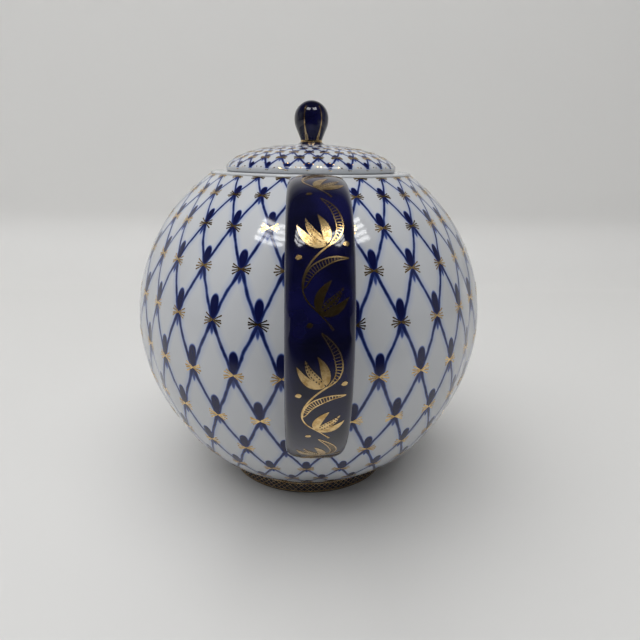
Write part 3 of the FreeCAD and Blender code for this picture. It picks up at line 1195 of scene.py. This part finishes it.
@dataclass
class Strap:
    """The strap handle with the gilt scroll on its outer face."""

    width: tuple[float, float] = (13.8 * MM, 15.2 * MM)
    thickness: float = 6.0 * MM
    power: float = 3.0
    standoff: float = 27.5 * MM         # from the body's widest to the middle of the strap
    below_rim: float = 2.1 * MM
    foot_drop: float = 21.7 * MM        # from the body's centre down to the strap's lower end
    scroll_start: float = 41.5 * MM     # from the strap's root in the shoulder to a repeat's start
    shares: tuple[tuple[float, float], ...] = (
        (-0.93, 0.905), (-0.48, 0.975), (0.05, 1.0), (0.58, 0.935), (0.93, 0.755),
        (1.0, 0.53), (0.80, 0.29), (0.36, 0.105), (-0.12, 0.012), (-0.42, 0.0),
    )  # share of the standoff, share of the height from foot to top
    dot_line: ClassVar[Array] = np.array([[-0.17], [0.0], [0.17]])        # millimetres
    dot_half: ClassVar[Array] = np.array([0.07, 0.16, 0.07])
    drop_line: ClassVar[Array] = np.array(
        [[-0.62, 0.18], [-0.3, 0.1], [0.1, 0.0], [0.45, -0.1], [0.7, -0.2]]
    )
    drop_half: ClassVar[Array] = np.array([0.05, 0.42, 0.55, 0.42, 0.05])

    def __post_init__(self) -> None:
        self.pot = PotBody()
        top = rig.box("mouth_collar")[1].z - self.below_rim
        foot = self.pot.middle - self.foot_drop
        self.line = Curve([
            (-(self.pot.crest + self.standoff * out), foot + (top - foot) * up)
            for out, up in self.shares
        ])
        self.face = StrapFace(self.line, self.width, self.thickness, self.power)

    def section(self, angle: Array, share: Array) -> Array:
        """Points of the strap at angles round its superellipse section and shares of its line."""
        angle, share = np.broadcast_arrays(angle, share)
        power = 2 / self.power
        side, out = np.cos(angle), np.sin(angle)
        x = np.sign(side) * np.abs(side) ** power * self.face.width_at(share) / 2
        rise = np.sign(out) * np.abs(out) ** power * self.thickness / 2
        return beside(x, self.line.at(share), self.line.along(share), rise)

    def solid(self) -> bpy.types.Object:
        """The strap, each of its lines running from inside the wall to inside the wall."""
        count = 72
        even = np.linspace(0, TURN, count + 1)
        angle = even - 0.12 * np.sin(4 * even)
        inside = self.pot.radius - 0.8 * self.pot.wall
        centre = np.array([0, 0, self.pot.middle])

        def over_wall(share: Array) -> Array:
            """How far each line's point lies outside the middle of the wall."""
            return np.linalg.norm(self.section(angle, share) - centre, axis=-1) - inside

        start = share_where(over_wall, count + 1, 0.0, 0.3)
        end = share_where(lambda s: -over_wall(s), count + 1, 0.75, 1.0)
        step = np.linspace(0, 1, 180)[:, None]
        body = self.section(angle[None, :], start + (end - start) * step)
        body = np.concatenate([closing_row(body[:1]), body, closing_row(body[-1:])])
        return from_sheets("handle_strap", [Sheet.of(body)], sharp=60)

    def _leaf(self, gilding: Gilding, line: Line, start: float, widest: float) -> None:
        """A ladder leaf: two fine lines that part and meet again, with rungs between them."""
        share = np.linspace(0, 1, 26)
        middle = Curve(line).at(share)
        run = unit(np.gradient(middle, axis=0))
        side = stack(-run[:, 1], run[:, 0])
        gap = 1.5 * np.sin(math.pi * share ** widest) ** 0.8
        far = middle + side * gap[:, None]
        for edge, half in ((middle, 0.15), (far, 0.11)):
            gilding.stroke(self._on(edge, start), np.full(len(edge), half * MM))
        for rung in np.arange(3, 24, 1.35) / 25:
            ends = np.array([on_line(edge, share, rung) for edge in (middle, far)])
            gilding.stroke(self._on(ends, start), np.full(2, 0.085 * MM))

    def _on(self, flat: Array, start: float) -> Array:
        """Millimetres of the scroll as the face's own metres."""
        return stack(flat[:, 0] * MM, start + flat[:, 1] * MM)

    def _tulip(
        self, gilding: Gilding, dots: Gilding, petals: list[Line], start: float
    ) -> None:
        """Three petals, the middle one with a row of dark dots along each edge."""
        share = np.linspace(0, 1, 18)
        for number, (line, size) in enumerate(zip(petals, (1.05, 0.95, 1.05))):
            middle = Curve(line).at(share)
            half = size * (np.sin(math.pi * share ** 0.80) ** 0.75) * (1 - 0.25 * share)
            proud = 1.0 if number == 1 else 1.25
            gilding.stroke(self._on(middle, start), np.maximum(half, 0.03) * MM, proud, 7)
            if number == 1:
                run = unit(np.gradient(middle, axis=0))
                side = stack(-run[:, 1], run[:, 0])
                for way in (-1, 1):
                    edge = middle + side * (way * 0.55 * half)[:, None]
                    for place in np.linspace(0.16, 0.86, 8):
                        dot = on_line(edge, share, place) + run[9] * self.dot_line
                        dots.stroke(self._on(dot, start), self.dot_half * MM, 1.7)

    def ornaments(self) -> tuple[bpy.types.Object, bpy.types.Object]:
        """The gilt scroll, and the dark dots on its tulips."""
        scroll = Scroll()
        gilding = Gilding(self.face, proud=0.05 * MM)
        dots = Gilding(self.face, proud=0.05 * MM)
        share = np.linspace(0, 1, 40)
        for repeat in range(-1, 3):
            start = self.scroll_start + repeat * scroll.pitch * MM
            vine = Curve(scroll.vine).at(share)
            half = 0.21 - 0.08 * share + 0.14 * smooth_step((share - 0.9) / 0.1)
            gilding.stroke(self._on(vine, start), half * MM)
            self._leaf(gilding, scroll.right_leaf, start, 0.95)
            self._leaf(gilding, scroll.left_leaf, start, 0.72)
            self._tulip(gilding, dots, scroll.left_tulip, start)
            self._tulip(gilding, dots, scroll.right_tulip, start)
            for place in scroll.drops:
                gilding.stroke(self._on(self.drop_line + place, start), self.drop_half * MM, 1.2, 4)
        return gilding.piece("handle_gilt_scroll"), dots.piece("handle_tulip_dots")

    def build(self, cobalt: bpy.types.Material, gold: bpy.types.Material) -> None:
        """Makes and dresses the strap and its scroll."""
        place_piece(self.solid(), cobalt, Body.POT, Slot.COBALT, "handle")
        scroll, dots = self.ornaments()
        place_piece(scroll, gold, Body.POT, Slot.COBALT)
        place_piece(dots, cobalt, Body.POT, Slot.COBALT)


@dataclass
class Spout:
    """The hollow S-shaped spout, netted like the body, with a gilt lip."""

    standoff: float = 44 * MM           # from the body's widest to the middle of the lip
    lip_above_rim: float = 1.5 * MM
    root_radius: float = 15.5 * MM
    lip_radius: float = 6.4 * MM
    wall: float = 2.3 * MM
    columns: int = 8
    clear: float = 0.06                 # share of the line that bows keep off the ends
    gilt_lip: float = 0.85 * MM         # half width of the gilt line round the lip
    below_lip: float = 0.9 * MM         # from the lip to that line's middle
    last_row: int = 20                  # row of the net at the root; rows count down to the lip
    shares: tuple[tuple[float, float], ...] = (
        (-0.36, -0.08), (-0.02, 0.0), (0.26, 0.13), (0.46, 0.34),
        (0.61, 0.58), (0.78, 0.80), (1.0, 1.0), (1.16, 1.14),
    )  # share of the standoff, share of the rise from root to lip

    def __post_init__(self) -> None:
        self.pot = PotBody()
        self.lip_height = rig.box("mouth_collar")[1].z + self.lip_above_rim
        root = self.pot.middle - self.pot.root_drop
        rise = self.lip_height - root
        line = Curve([
            (self.pot.crest + self.standoff * out, root + rise * up) for out, up in self.shares
        ])
        self.skin = Tube(line, self.root_radius, self.lip_radius)
        self.inner = Tube(line, self.root_radius, self.lip_radius, self.wall)

    def _lines(self, skin: Tube, angle: Array, rows: int) -> tuple[Array, Array]:
        """Lines from inside the pot's wall to just under the lip, and their shares."""
        inside = self.pot.radius - 0.45 * self.pot.wall
        centre = np.array([0, 0, self.pot.middle])
        level = self.lip_height - 0.5 * self.wall

        def over_wall(share: Array) -> Array:
            """How far each line's point lies outside the pot's wall."""
            return np.linalg.norm(skin.base(angle, share) - centre, axis=-1) - inside

        start = share_where(over_wall, len(angle), 0, 0.5)
        end = share_where(lambda s: skin.base(angle, s)[..., 2] - level, len(angle), 0.5, 1.0)
        share = start + (end - start) * np.linspace(0, 1, rows)[:, None]
        return skin.base(angle[None, :], share), share

    def row_at(self, share: Array) -> Array:
        """Rows of the net along the spout: each row is as high as 1.1 of its column's width."""
        fine = np.linspace(0, 1, 400)
        cell = 1.1 * TURN * self.skin.radius_at(fine) / self.columns
        rows = np.concatenate([[0.0], np.cumsum(self.skin.line.length / 399 / cell[1:])])
        return np.interp(share, fine, rows)

    def build(self, gold: bpy.types.Material) -> None:
        """Makes the tube, its marks and its lip."""
        angle = np.linspace(0, TURN, 97)
        outer, share = self._lines(self.skin, angle, 120)
        inner, _ = self._lines(self.inner, angle, 60)
        net = stack(angle * self.columns / TURN, self.last_row - self.row_at(share))
        over = np.linspace(0, 1, 9)[:, None, None]
        bulge = np.sin(math.pi * over) * np.array([0, 0, 0.5 * self.wall])
        lip = outer[-1] + (inner[-1] - outer[-1]) * (1 - np.cos(math.pi * over)) / 2 + bulge
        bore_side = Sheet.plain(np.concatenate([lip, inner[::-1][1:], outer[:1]]))
        tube = from_sheets("spout_tube", [Sheet.of(outer, net), bore_side])
        glaze = NetGlaze("cobalt_net_on_spout", (8.6, 9.4), bleed=0.5, drop=(2.4, 2.2)).make()
        place_piece(tube, glaze, Body.POT, Slot.NET, "spout")
        place_piece(self.marks(share), gold, Body.POT, Slot.NET)
        gilding = Gilding(self.skin)
        edge = np.clip(share[-1] - self.below_lip / self.skin.line.length, 0, 1)
        half = np.full(len(angle), self.gilt_lip)
        gilding.stroke(stack(angle, edge), half, cross=3, closed=True)
        place_piece(gilding.piece("spout_gilt_lip"), gold, Body.POT, Slot.NET)

    def marks(self, share: Array) -> bpy.types.Object:
        """A gilt bow on each crossing that lies clear of the body and the lip."""
        fine = np.linspace(0, 1, 400)
        rows = self.last_row - self.row_at(fine)
        counts = np.arange(self.last_row), np.arange(self.columns)
        row, column = np.meshgrid(*counts, indexing="ij")
        at = np.interp(-row.ravel(), -rows, fine)
        turn = (column + (row % 2) / 2).ravel() * TURN / self.columns
        around = np.linspace(0, TURN, share.shape[1])
        start = np.interp(turn % TURN, around, share[0]) + self.clear
        end = np.interp(turn % TURN, around, share[-1]) - self.clear
        keep = (at > start) & (at < end) & (at > 0) & (at < 1)
        places = stack(turn, at)[keep]
        size = self.skin.radius_at(places[:, 1]) / self.root_radius
        bow = Bow("spout_gilt_bows", (-27, -9, 9, 27), 2.3 * MM, (0.88, 1.08), 0.18 * MM,
                  waver=0.05, seed=9)
        return bow.lay(self.skin, places, size**0.6)


@dataclass
class Lid:
    """The domed cap with its flange, its vent, its net and its gilt crowns."""

    radius: float = 28.5 * MM
    swell: float = 0.4 * MM
    rise: float = 8.8 * MM
    wall: float = 3.1 * MM
    knob_seat: float = 4.65 * MM
    flange_wall: float = 2.6 * MM
    flange_edge: float = 0.5 * MM
    bevel: float = 0.5 * MM
    row_height: float = 3.1 * MM
    vent: tuple[float, float] = (1.2 * MM, 14 * MM)
    columns: int = 28
    first_column: float = -3.0
    net_start: int = 10                # row of the net at the edge; rows count down to the knob
    row_radii: tuple[float, ...] = (28.4, 24.8, 20.8, 16.7, 12.7, 9.3, 6.6)     # millimetres
    crown_drop: float = 0.8 * MM       # from the first row down to the crowns' roots
    crown: tuple[float, ...] = (22, 56, 90, 124, 158)                # directions, in degrees
    bow: tuple[float, ...] = (-28, -10, 10, 28, 152, 170, 190, 208)
    bow_reach: tuple[float, ...] = (1.7, 1.55, 1.3, 1.0)             # millimetres, row by row

    def __post_init__(self) -> None:
        low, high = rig.box("lid_dome")
        self.base, self.top = low.z, high.z
        outer = self.radius + self.swell
        edge, seat = math.acos(self.radius / outer), math.acos(self.knob_seat / outer)
        angles = np.linspace(edge, seat, 80)
        dome = stack(outer * np.cos(angles), self.base + self.rise * np.sin(angles))
        heights = np.linspace(self.bevel, 0.8 * (dome[0, 1] - self.base), 3)
        side = stack(self.radius, self.base + heights)
        self.skin = Turned(Curve(np.concatenate([side, dome])))
        fine = np.linspace(1.2 * MM / self.skin.profile.length, 1, 400)
        reach = self.skin.profile.at(fine)[:, 0]
        self.row_shares = np.interp(-np.array(self.row_radii) * MM, -reach, fine)

    def row_at(self, share: Array) -> Array:
        """Rows counted in from the edge, at shares of the profile from the edge to the knob."""
        row = np.interp(share, self.row_shares, np.arange(len(self.row_shares)))
        below = (share - self.row_shares[0]) * self.skin.profile.length / self.row_height
        return np.where(share < self.row_shares[0], below, row)

    def cap(self) -> bpy.types.Object:
        """The dome, its underside and its resting edge, with the vent drilled through."""
        count = 288
        azimuth = np.linspace(0, TURN, count + 1)[None, :]
        share = np.linspace(0, 1, 70)[:, None]
        dome = self.skin.base(azimuth, share)
        column = (np.degrees(azimuth) - self.first_column) * self.columns / 360
        net = stack(column, self.net_start - self.row_at(share))
        inner = self.radius - self.wall
        angles = np.linspace(math.pi / 2, 0, 24)
        depth = self.rise - self.wall
        under = [(inner * math.cos(a), self.base + depth * math.sin(a)) for a in angles]
        low_edge = arc((self.radius - self.bevel, self.base + self.bevel), self.bevel, -90, 0, 5)
        below = Sheet.plain(turned_sheet(under + low_edge, count).points)
        seat = Sheet.plain(turned_sheet([(self.knob_seat, self.top), (0, self.top)], count).points)
        piece = from_sheets("lid_cap", [below, Sheet.of(dome, net), seat])
        hole, distance = self.vent
        start = Vector((0, distance, self.base - MM))
        bore(piece, [start], Vector((0, 0, 1)), hole, self.rise + 2 * MM)
        return piece

    def marks(self) -> bpy.types.Object:
        """Gilt crowns round the edge and gilt bows on the crossings above them."""
        rng = np.random.default_rng(24)
        gilding = Gilding(self.skin)
        fans = (self.crown, self.bow, self.bow, self.bow, self.bow[::2])
        for row, (fan, size) in enumerate(zip(fans, (2.9, *self.bow_reach))):
            column = np.arange(self.columns) + (row % 2) / 2
            azimuth = np.radians(column * 360 / self.columns + self.first_column)
            drop = self.crown_drop / self.skin.profile.length if row == 0 else 0.0
            places = stack(azimuth, self.row_shares[row] - drop)
            shape = (self.columns, len(fan))
            angles = np.radians(fan)[None, :] + rng.normal(0, 0.05, shape)
            length = size * MM * rng.uniform(0.88, 1.1, shape)
            gilding.prongs(places, angles, (length * 0.05, length), (0.10 * MM, 0.19 * MM))
        return gilding.piece("lid_gilt_crowns")

    def flange(self, white: bpy.types.Material) -> None:
        """The ring that drops into the mouth."""
        low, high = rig.box("lid_flange")
        outer, edge = high.x, self.flange_edge
        inner = outer - self.flange_wall
        hollow, depth = self.radius - self.wall, self.rise - self.wall
        tops = [self.base + depth * math.sqrt(1 - (r / hollow) ** 2) for r in (outer, inner)]
        profile = [(outer, tops[0])] + arc((outer - edge, low.z + edge), edge, 0, -90)
        profile += arc((inner + edge, low.z + edge), edge, -90, -180)
        profile += [(inner, tops[1]), (outer, tops[0])]
        ring = from_sheets("lid_flange_ring", [turned_sheet(profile, 200)])
        place_piece(ring, white, Body.LID, Slot.WHITE, "lid_flange")

    def build(self, white: bpy.types.Material, gold: bpy.types.Material) -> None:
        """Makes and dresses the cap, its gilding and the flange."""
        net = NetGlaze(
            "cobalt_net_on_lid", (5.1, 4.1), line=0.30, bleed=0.90, drop=(2.5, 1.9), brush=0.46,
            rings=(7.3, 1.45, 2), end=float(self.net_start), columns=self.columns,
        ).make()
        place_piece(self.cap(), net, Body.LID, Slot.NET, "lid_dome")
        place_piece(self.marks(), gold, Body.LID, Slot.NET)
        self.flange(white)


@dataclass
class Knob:
    """The bulb-shaped knob with gilt lines down its sides and a gilt ring at its neck."""

    radius: float = 5.6 * MM
    neck: float = 3.55 * MM
    seat: float = 4.65 * MM
    lines: int = 6
    first_line: float = -26.0          # azimuth in degrees
    run: tuple[float, float] = (0.10, 0.74)          # shares of the side that the lines cover
    line: tuple[float, float] = (0.14 * MM, 0.40 * MM)       # half width, and extra at the neck
    ring: tuple[float, float] = (0.085, 0.34 * MM)   # share of the side, and half width

    def __post_init__(self) -> None:
        low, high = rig.box("knob")
        self.base, self.bulb = low.z, high.z - self.radius
        run, shoulder = self.bulb - self.base, self.radius - self.neck
        flank = [
            (self.seat, self.base),
            (self.neck, self.base + run * 0.10),
            (self.neck + shoulder * 0.12, self.bulb - run * 0.74),
            (self.neck + shoulder * 0.52, self.bulb - run * 0.50),
            (self.radius * 0.965, self.bulb - run * 0.24),
        ]
        crown = arc((0, self.bulb), self.radius, 0, 89.5, 12)
        self.skin = Turned(Curve(flank + crown))

    def build(self, cobalt: bpy.types.Material, gold: bpy.types.Material) -> None:
        """Makes and dresses the bulb and its lines."""
        azimuth = np.linspace(0, TURN, 121)[None, :]
        side = self.skin.base(azimuth, np.linspace(0, 1, 80)[:, None])
        low, high = (np.broadcast_to([0.0, 0.0, z], side[:1].shape)
                     for z in (self.base, side[-1, 0, 2]))
        bulb = from_sheets("knob_bulb", [Sheet.of(np.concatenate([low, side, high]))])
        place_piece(bulb, cobalt, Body.LID, Slot.COBALT, "knob")
        gilding = Gilding(self.skin, proud=0.04 * MM)
        share = np.linspace(*self.run, 30)
        half = self.line[0] + self.line[1] * (1 - smooth_step((share - self.run[0]) / 0.30))
        for number in range(self.lines):
            turn = math.radians(self.first_line) + number * TURN / self.lines
            gilding.stroke(stack(turn, share), half, cross=3)
        around = np.linspace(0, TURN, 73)
        level, half_ring = self.ring
        gilding.stroke(stack(around, level), np.full(73, half_ring), cross=3, closed=True)
        place_piece(gilding.piece("knob_gilt_lines"), gold, Body.LID, Slot.COBALT)


# ---------------------------------------------------------------- studio

@dataclass
class Studio:
    """A pale table that curves up into a pale wall, soft light, and the camera."""

    wall_distance: float = 0.33
    wall_heights: tuple[float, float] = (0.24, 0.65)
    bend: float = 0.06             # radius of the bend between table and wall
    table: Colour = (0.67, 0.666, 0.652)
    wall: Colour = (0.81, 0.805, 0.79)
    # painted shade: the wall goes grey, then near black, towards its top
    wall_painted_shade: Colour = (0.42, 0.42, 0.42)
    wall_top_painted_shade: Colour = (0.05, 0.05, 0.05)
    # painted reflection: colours of a sheet that only reflections see, near black with a lighter edge near the pot
    reflected_dark: Colour = (0.008, 0.008, 0.010)
    reflected_edge_light: Colour = (0.5, 0.5, 0.5)
    reflection_sheet_line: tuple[tuple[float, float], ...] = (      # distance behind the axis, height
        (-0.13, 0.001), (-0.20, 0.002), (-0.27, 0.02), (-0.31, 0.08), (-0.32, 0.20), (-0.32, 0.50),
    )
    ceiling_place: tuple[float, float, float] = (-0.21, -0.27, 1.25)
    ceiling_size: tuple[float, float] = (1.9, 1.7)
    ceiling_power: float = 24.5
    windows: tuple[float, float] = (-35.0, 35.0)     # azimuths of the windows, in degrees
    window_lift: float = 61.0                        # and their elevation
    window_distance: float = 1.25
    slats_up: tuple[float, ...] = (-0.128, -0.043, 0.043, 0.128)
    slats_aside: tuple[float, ...] = (-0.12, 0.12)
    slat_size: tuple[float, float] = (0.22, 0.055)
    slat_power: float = 0.42
    camera_height: float = 0.113
    camera_distance: float = 0.1926
    camera_side: float = 0.0038
    turn: float = -2.5             # of the camera round the pot, in degrees
    pitch: float = 17.0
    roll: float = 0.85
    lens: float = 30.66

    def _sheet(self, name: str, run: Sequence[Sequence[float]], half: float) -> bpy.types.Object:
        """A profile (distance behind the axis, height) carried sideways, half each way."""
        side, places = np.linspace(-half, half, 9)[None, :], np.array(run)[:, None, :]
        return from_sheets(name, [Sheet.of(stack(side, places[..., 0], places[..., 1]))])

    def backdrop(self) -> None:
        """One sheet: flat table, a bend, and an upright wall with painted shade that darkens it towards its top."""
        start, bend = self.wall_distance - self.bend, self.bend
        run = [(-1.6, 0.0), (-0.8, 0.0), (start, 0.0)]
        run += [(start + bend * math.sin(a), bend - bend * math.cos(a))
                for a in np.linspace(0, math.pi / 2, 14)[1:]]
        run += [(self.wall_distance, height) for height in self.wall_heights]
        floor = self._sheet("studio_backdrop", run, 2.2)
        paint = Paint("pale_studio_paper")
        tone = paint.noise(0.25, 3.0)
        height = paint.part(paint.place(), 2)
        colour = paint.blend(height.rise(0.0, 0.05), self.table, self.wall)
        # painted shade: grey, then near black, towards the wall's top
        colour = paint.blend(height.rise(0.245, 0.40), colour, self.wall_painted_shade)
        colour = paint.blend(height.rise(0.36, 0.62), colour, self.wall_top_painted_shade)
        floor.data.materials.append(paint.finish(colour, 0.62 + 0.1 * tone))
        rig.stage(floor)

    def room(self) -> None:
        """The dim room all round, darkest in front and above, even where the camera sees it."""
        world = bpy.data.worlds.new("studio_room")
        bpy.context.scene.world = world
        room = Paint("studio_room", world)
        direction = room.node("ShaderNodeTexCoord", {}, {}, "Generated")
        ahead, above = room.part(direction, 1), room.part(direction, 2)
        dark = ahead.rise(-0.05, -0.55).most(above.rise(0.30, 0.65))
        seen = room.node("ShaderNodeLightPath", {}, {}, "Is Camera Ray")
        strength = (0.32 - 0.28 * dark) * (1 - seen) + 0.50 * seen
        sockets = {"Color": (0.95, 0.96, 1.0, 1.0), "Strength": strength}
        glow = room.node("ShaderNodeBackground", {}, sockets)
        room.node("ShaderNodeOutputWorld", {}, {"Surface": glow})

    def lights(self) -> None:
        """Soft light from above, and two small windows over the camera."""
        ceiling = self._area(
            "ceiling", self.ceiling_place, (0, 0, 0.05), self.ceiling_size, self.ceiling_power
        )
        ceiling.visible_glossy = False
        for azimuth in self.windows:
            self._window(math.radians(azimuth))

    def _window(self, azimuth: float) -> None:
        """A window behind a slatted blind, seen from the pot at this azimuth."""
        lift, distance, middle = math.radians(self.window_lift), self.window_distance, 0.06
        level = Vector((math.sin(azimuth), -math.cos(azimuth), 0))
        aside = Vector((math.cos(azimuth), math.sin(azimuth), 0))
        centre = level * (distance * math.cos(lift))
        centre += Vector((0, 0, middle + distance * math.sin(lift)))
        up = level * -math.sin(lift) + Vector((0, 0, math.cos(lift)))
        for over in self.slats_up:
            for across in self.slats_aside:
                place = centre + aside * across + up * over
                slat = self._area(
                    "window_slat", place, (0, 0, middle), self.slat_size, self.slat_power
                )
                slat.visible_diffuse = False

    def flag(self) -> None:
        """A dark sheet before the pot that only reflections see, as a person there would be: its colour is a painted
        reflection, lighter at the edge nearest the pot.
        """
        flag = self._sheet("dark_cloth", self.reflection_sheet_line, 0.28)
        paint = Paint("dark_cloth")
        away = paint.part(paint.place(), 1)
        # painted reflection: lighter near the pot, near black further off
        colour = paint.blend(away.rise(-0.14, -0.22), self.reflected_edge_light, self.reflected_dark)
        flag.data.materials.append(paint.finish(colour, 0.9))
        flag.visible_camera = flag.visible_diffuse = False
        flag.visible_shadow = flag.visible_transmission = False
        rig.stage(flag)

    def _area(
        self, name: str, place: Sequence[float], target: Sequence[float],
        size: tuple[float, float], power: float,
    ) -> bpy.types.Object:
        """One rectangular light.

        Args:
            name: the light's name.
            place: where it is.
            target: the point that it faces.
            size: its width and height.
            power: its power in watts.

        Returns:
            The light.
        """
        lamp = bpy.data.lights.new(name, "AREA")
        lamp.shape, lamp.size, lamp.size_y, lamp.energy = "RECTANGLE", size[0], size[1], power
        holder = bpy.data.objects.new(name, lamp)
        holder.location = place
        holder.rotation_euler = (Vector(target) - Vector(place)).to_track_quat("-Z", "Y").to_euler()
        bpy.context.scene.collection.objects.link(holder)
        return holder

    def camera(self) -> None:
        """The camera, beside the handle and looking a little down."""
        data = bpy.data.cameras.new("camera")
        data.lens, data.sensor_width, data.clip_start = self.lens, 36.0, 0.01
        holder = bpy.data.objects.new("camera", data)
        around = Matrix.Rotation(math.radians(self.turn), 4, "Z")
        place = around @ Vector((self.camera_side, -self.camera_distance, self.camera_height))
        tilt = Matrix.Rotation(math.radians(90 - self.pitch), 4, "X")
        lean = Matrix.Rotation(math.radians(self.roll), 4, "Z")
        holder.matrix_world = Matrix.Translation(place) @ around @ tilt @ lean
        bpy.context.scene.collection.objects.link(holder)
        bpy.context.scene.camera = holder

    def build(self) -> None:
        """Sets up the table, the room, the lights and the camera."""
        self.backdrop()
        self.room()
        self.lights()
        self.flag()
        self.camera()
        bpy.context.scene.view_settings.view_transform = "Standard"


def as_lists(box: Any) -> list[list[float]]:
    """A box as plain lists of numbers."""
    return [[float(c) for c in corner] for corner in box]


def main() -> None:
    """Builds every sub-assembly in order."""
    logging.basicConfig(level=logging.INFO, format="%(name)s: %(message)s")
    cad_box = as_lists(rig.bounds())
    gold, white, cobalt = Gold().make(), WhiteGlaze().make(), CobaltGlaze().make()
    PotBody().build(gold)
    Foot().build(gold)
    Collar().build(white)
    Strap().build(cobalt, gold)
    Spout().build(gold)
    Lid().build(white, gold)
    Knob().build(cobalt, gold)
    Studio().build()
    with open("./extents.json", "w") as report:
        json.dump({"cad": cad_box, "visual": as_lists(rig.bounds())}, report)


if __name__ == "__main__":
    main()
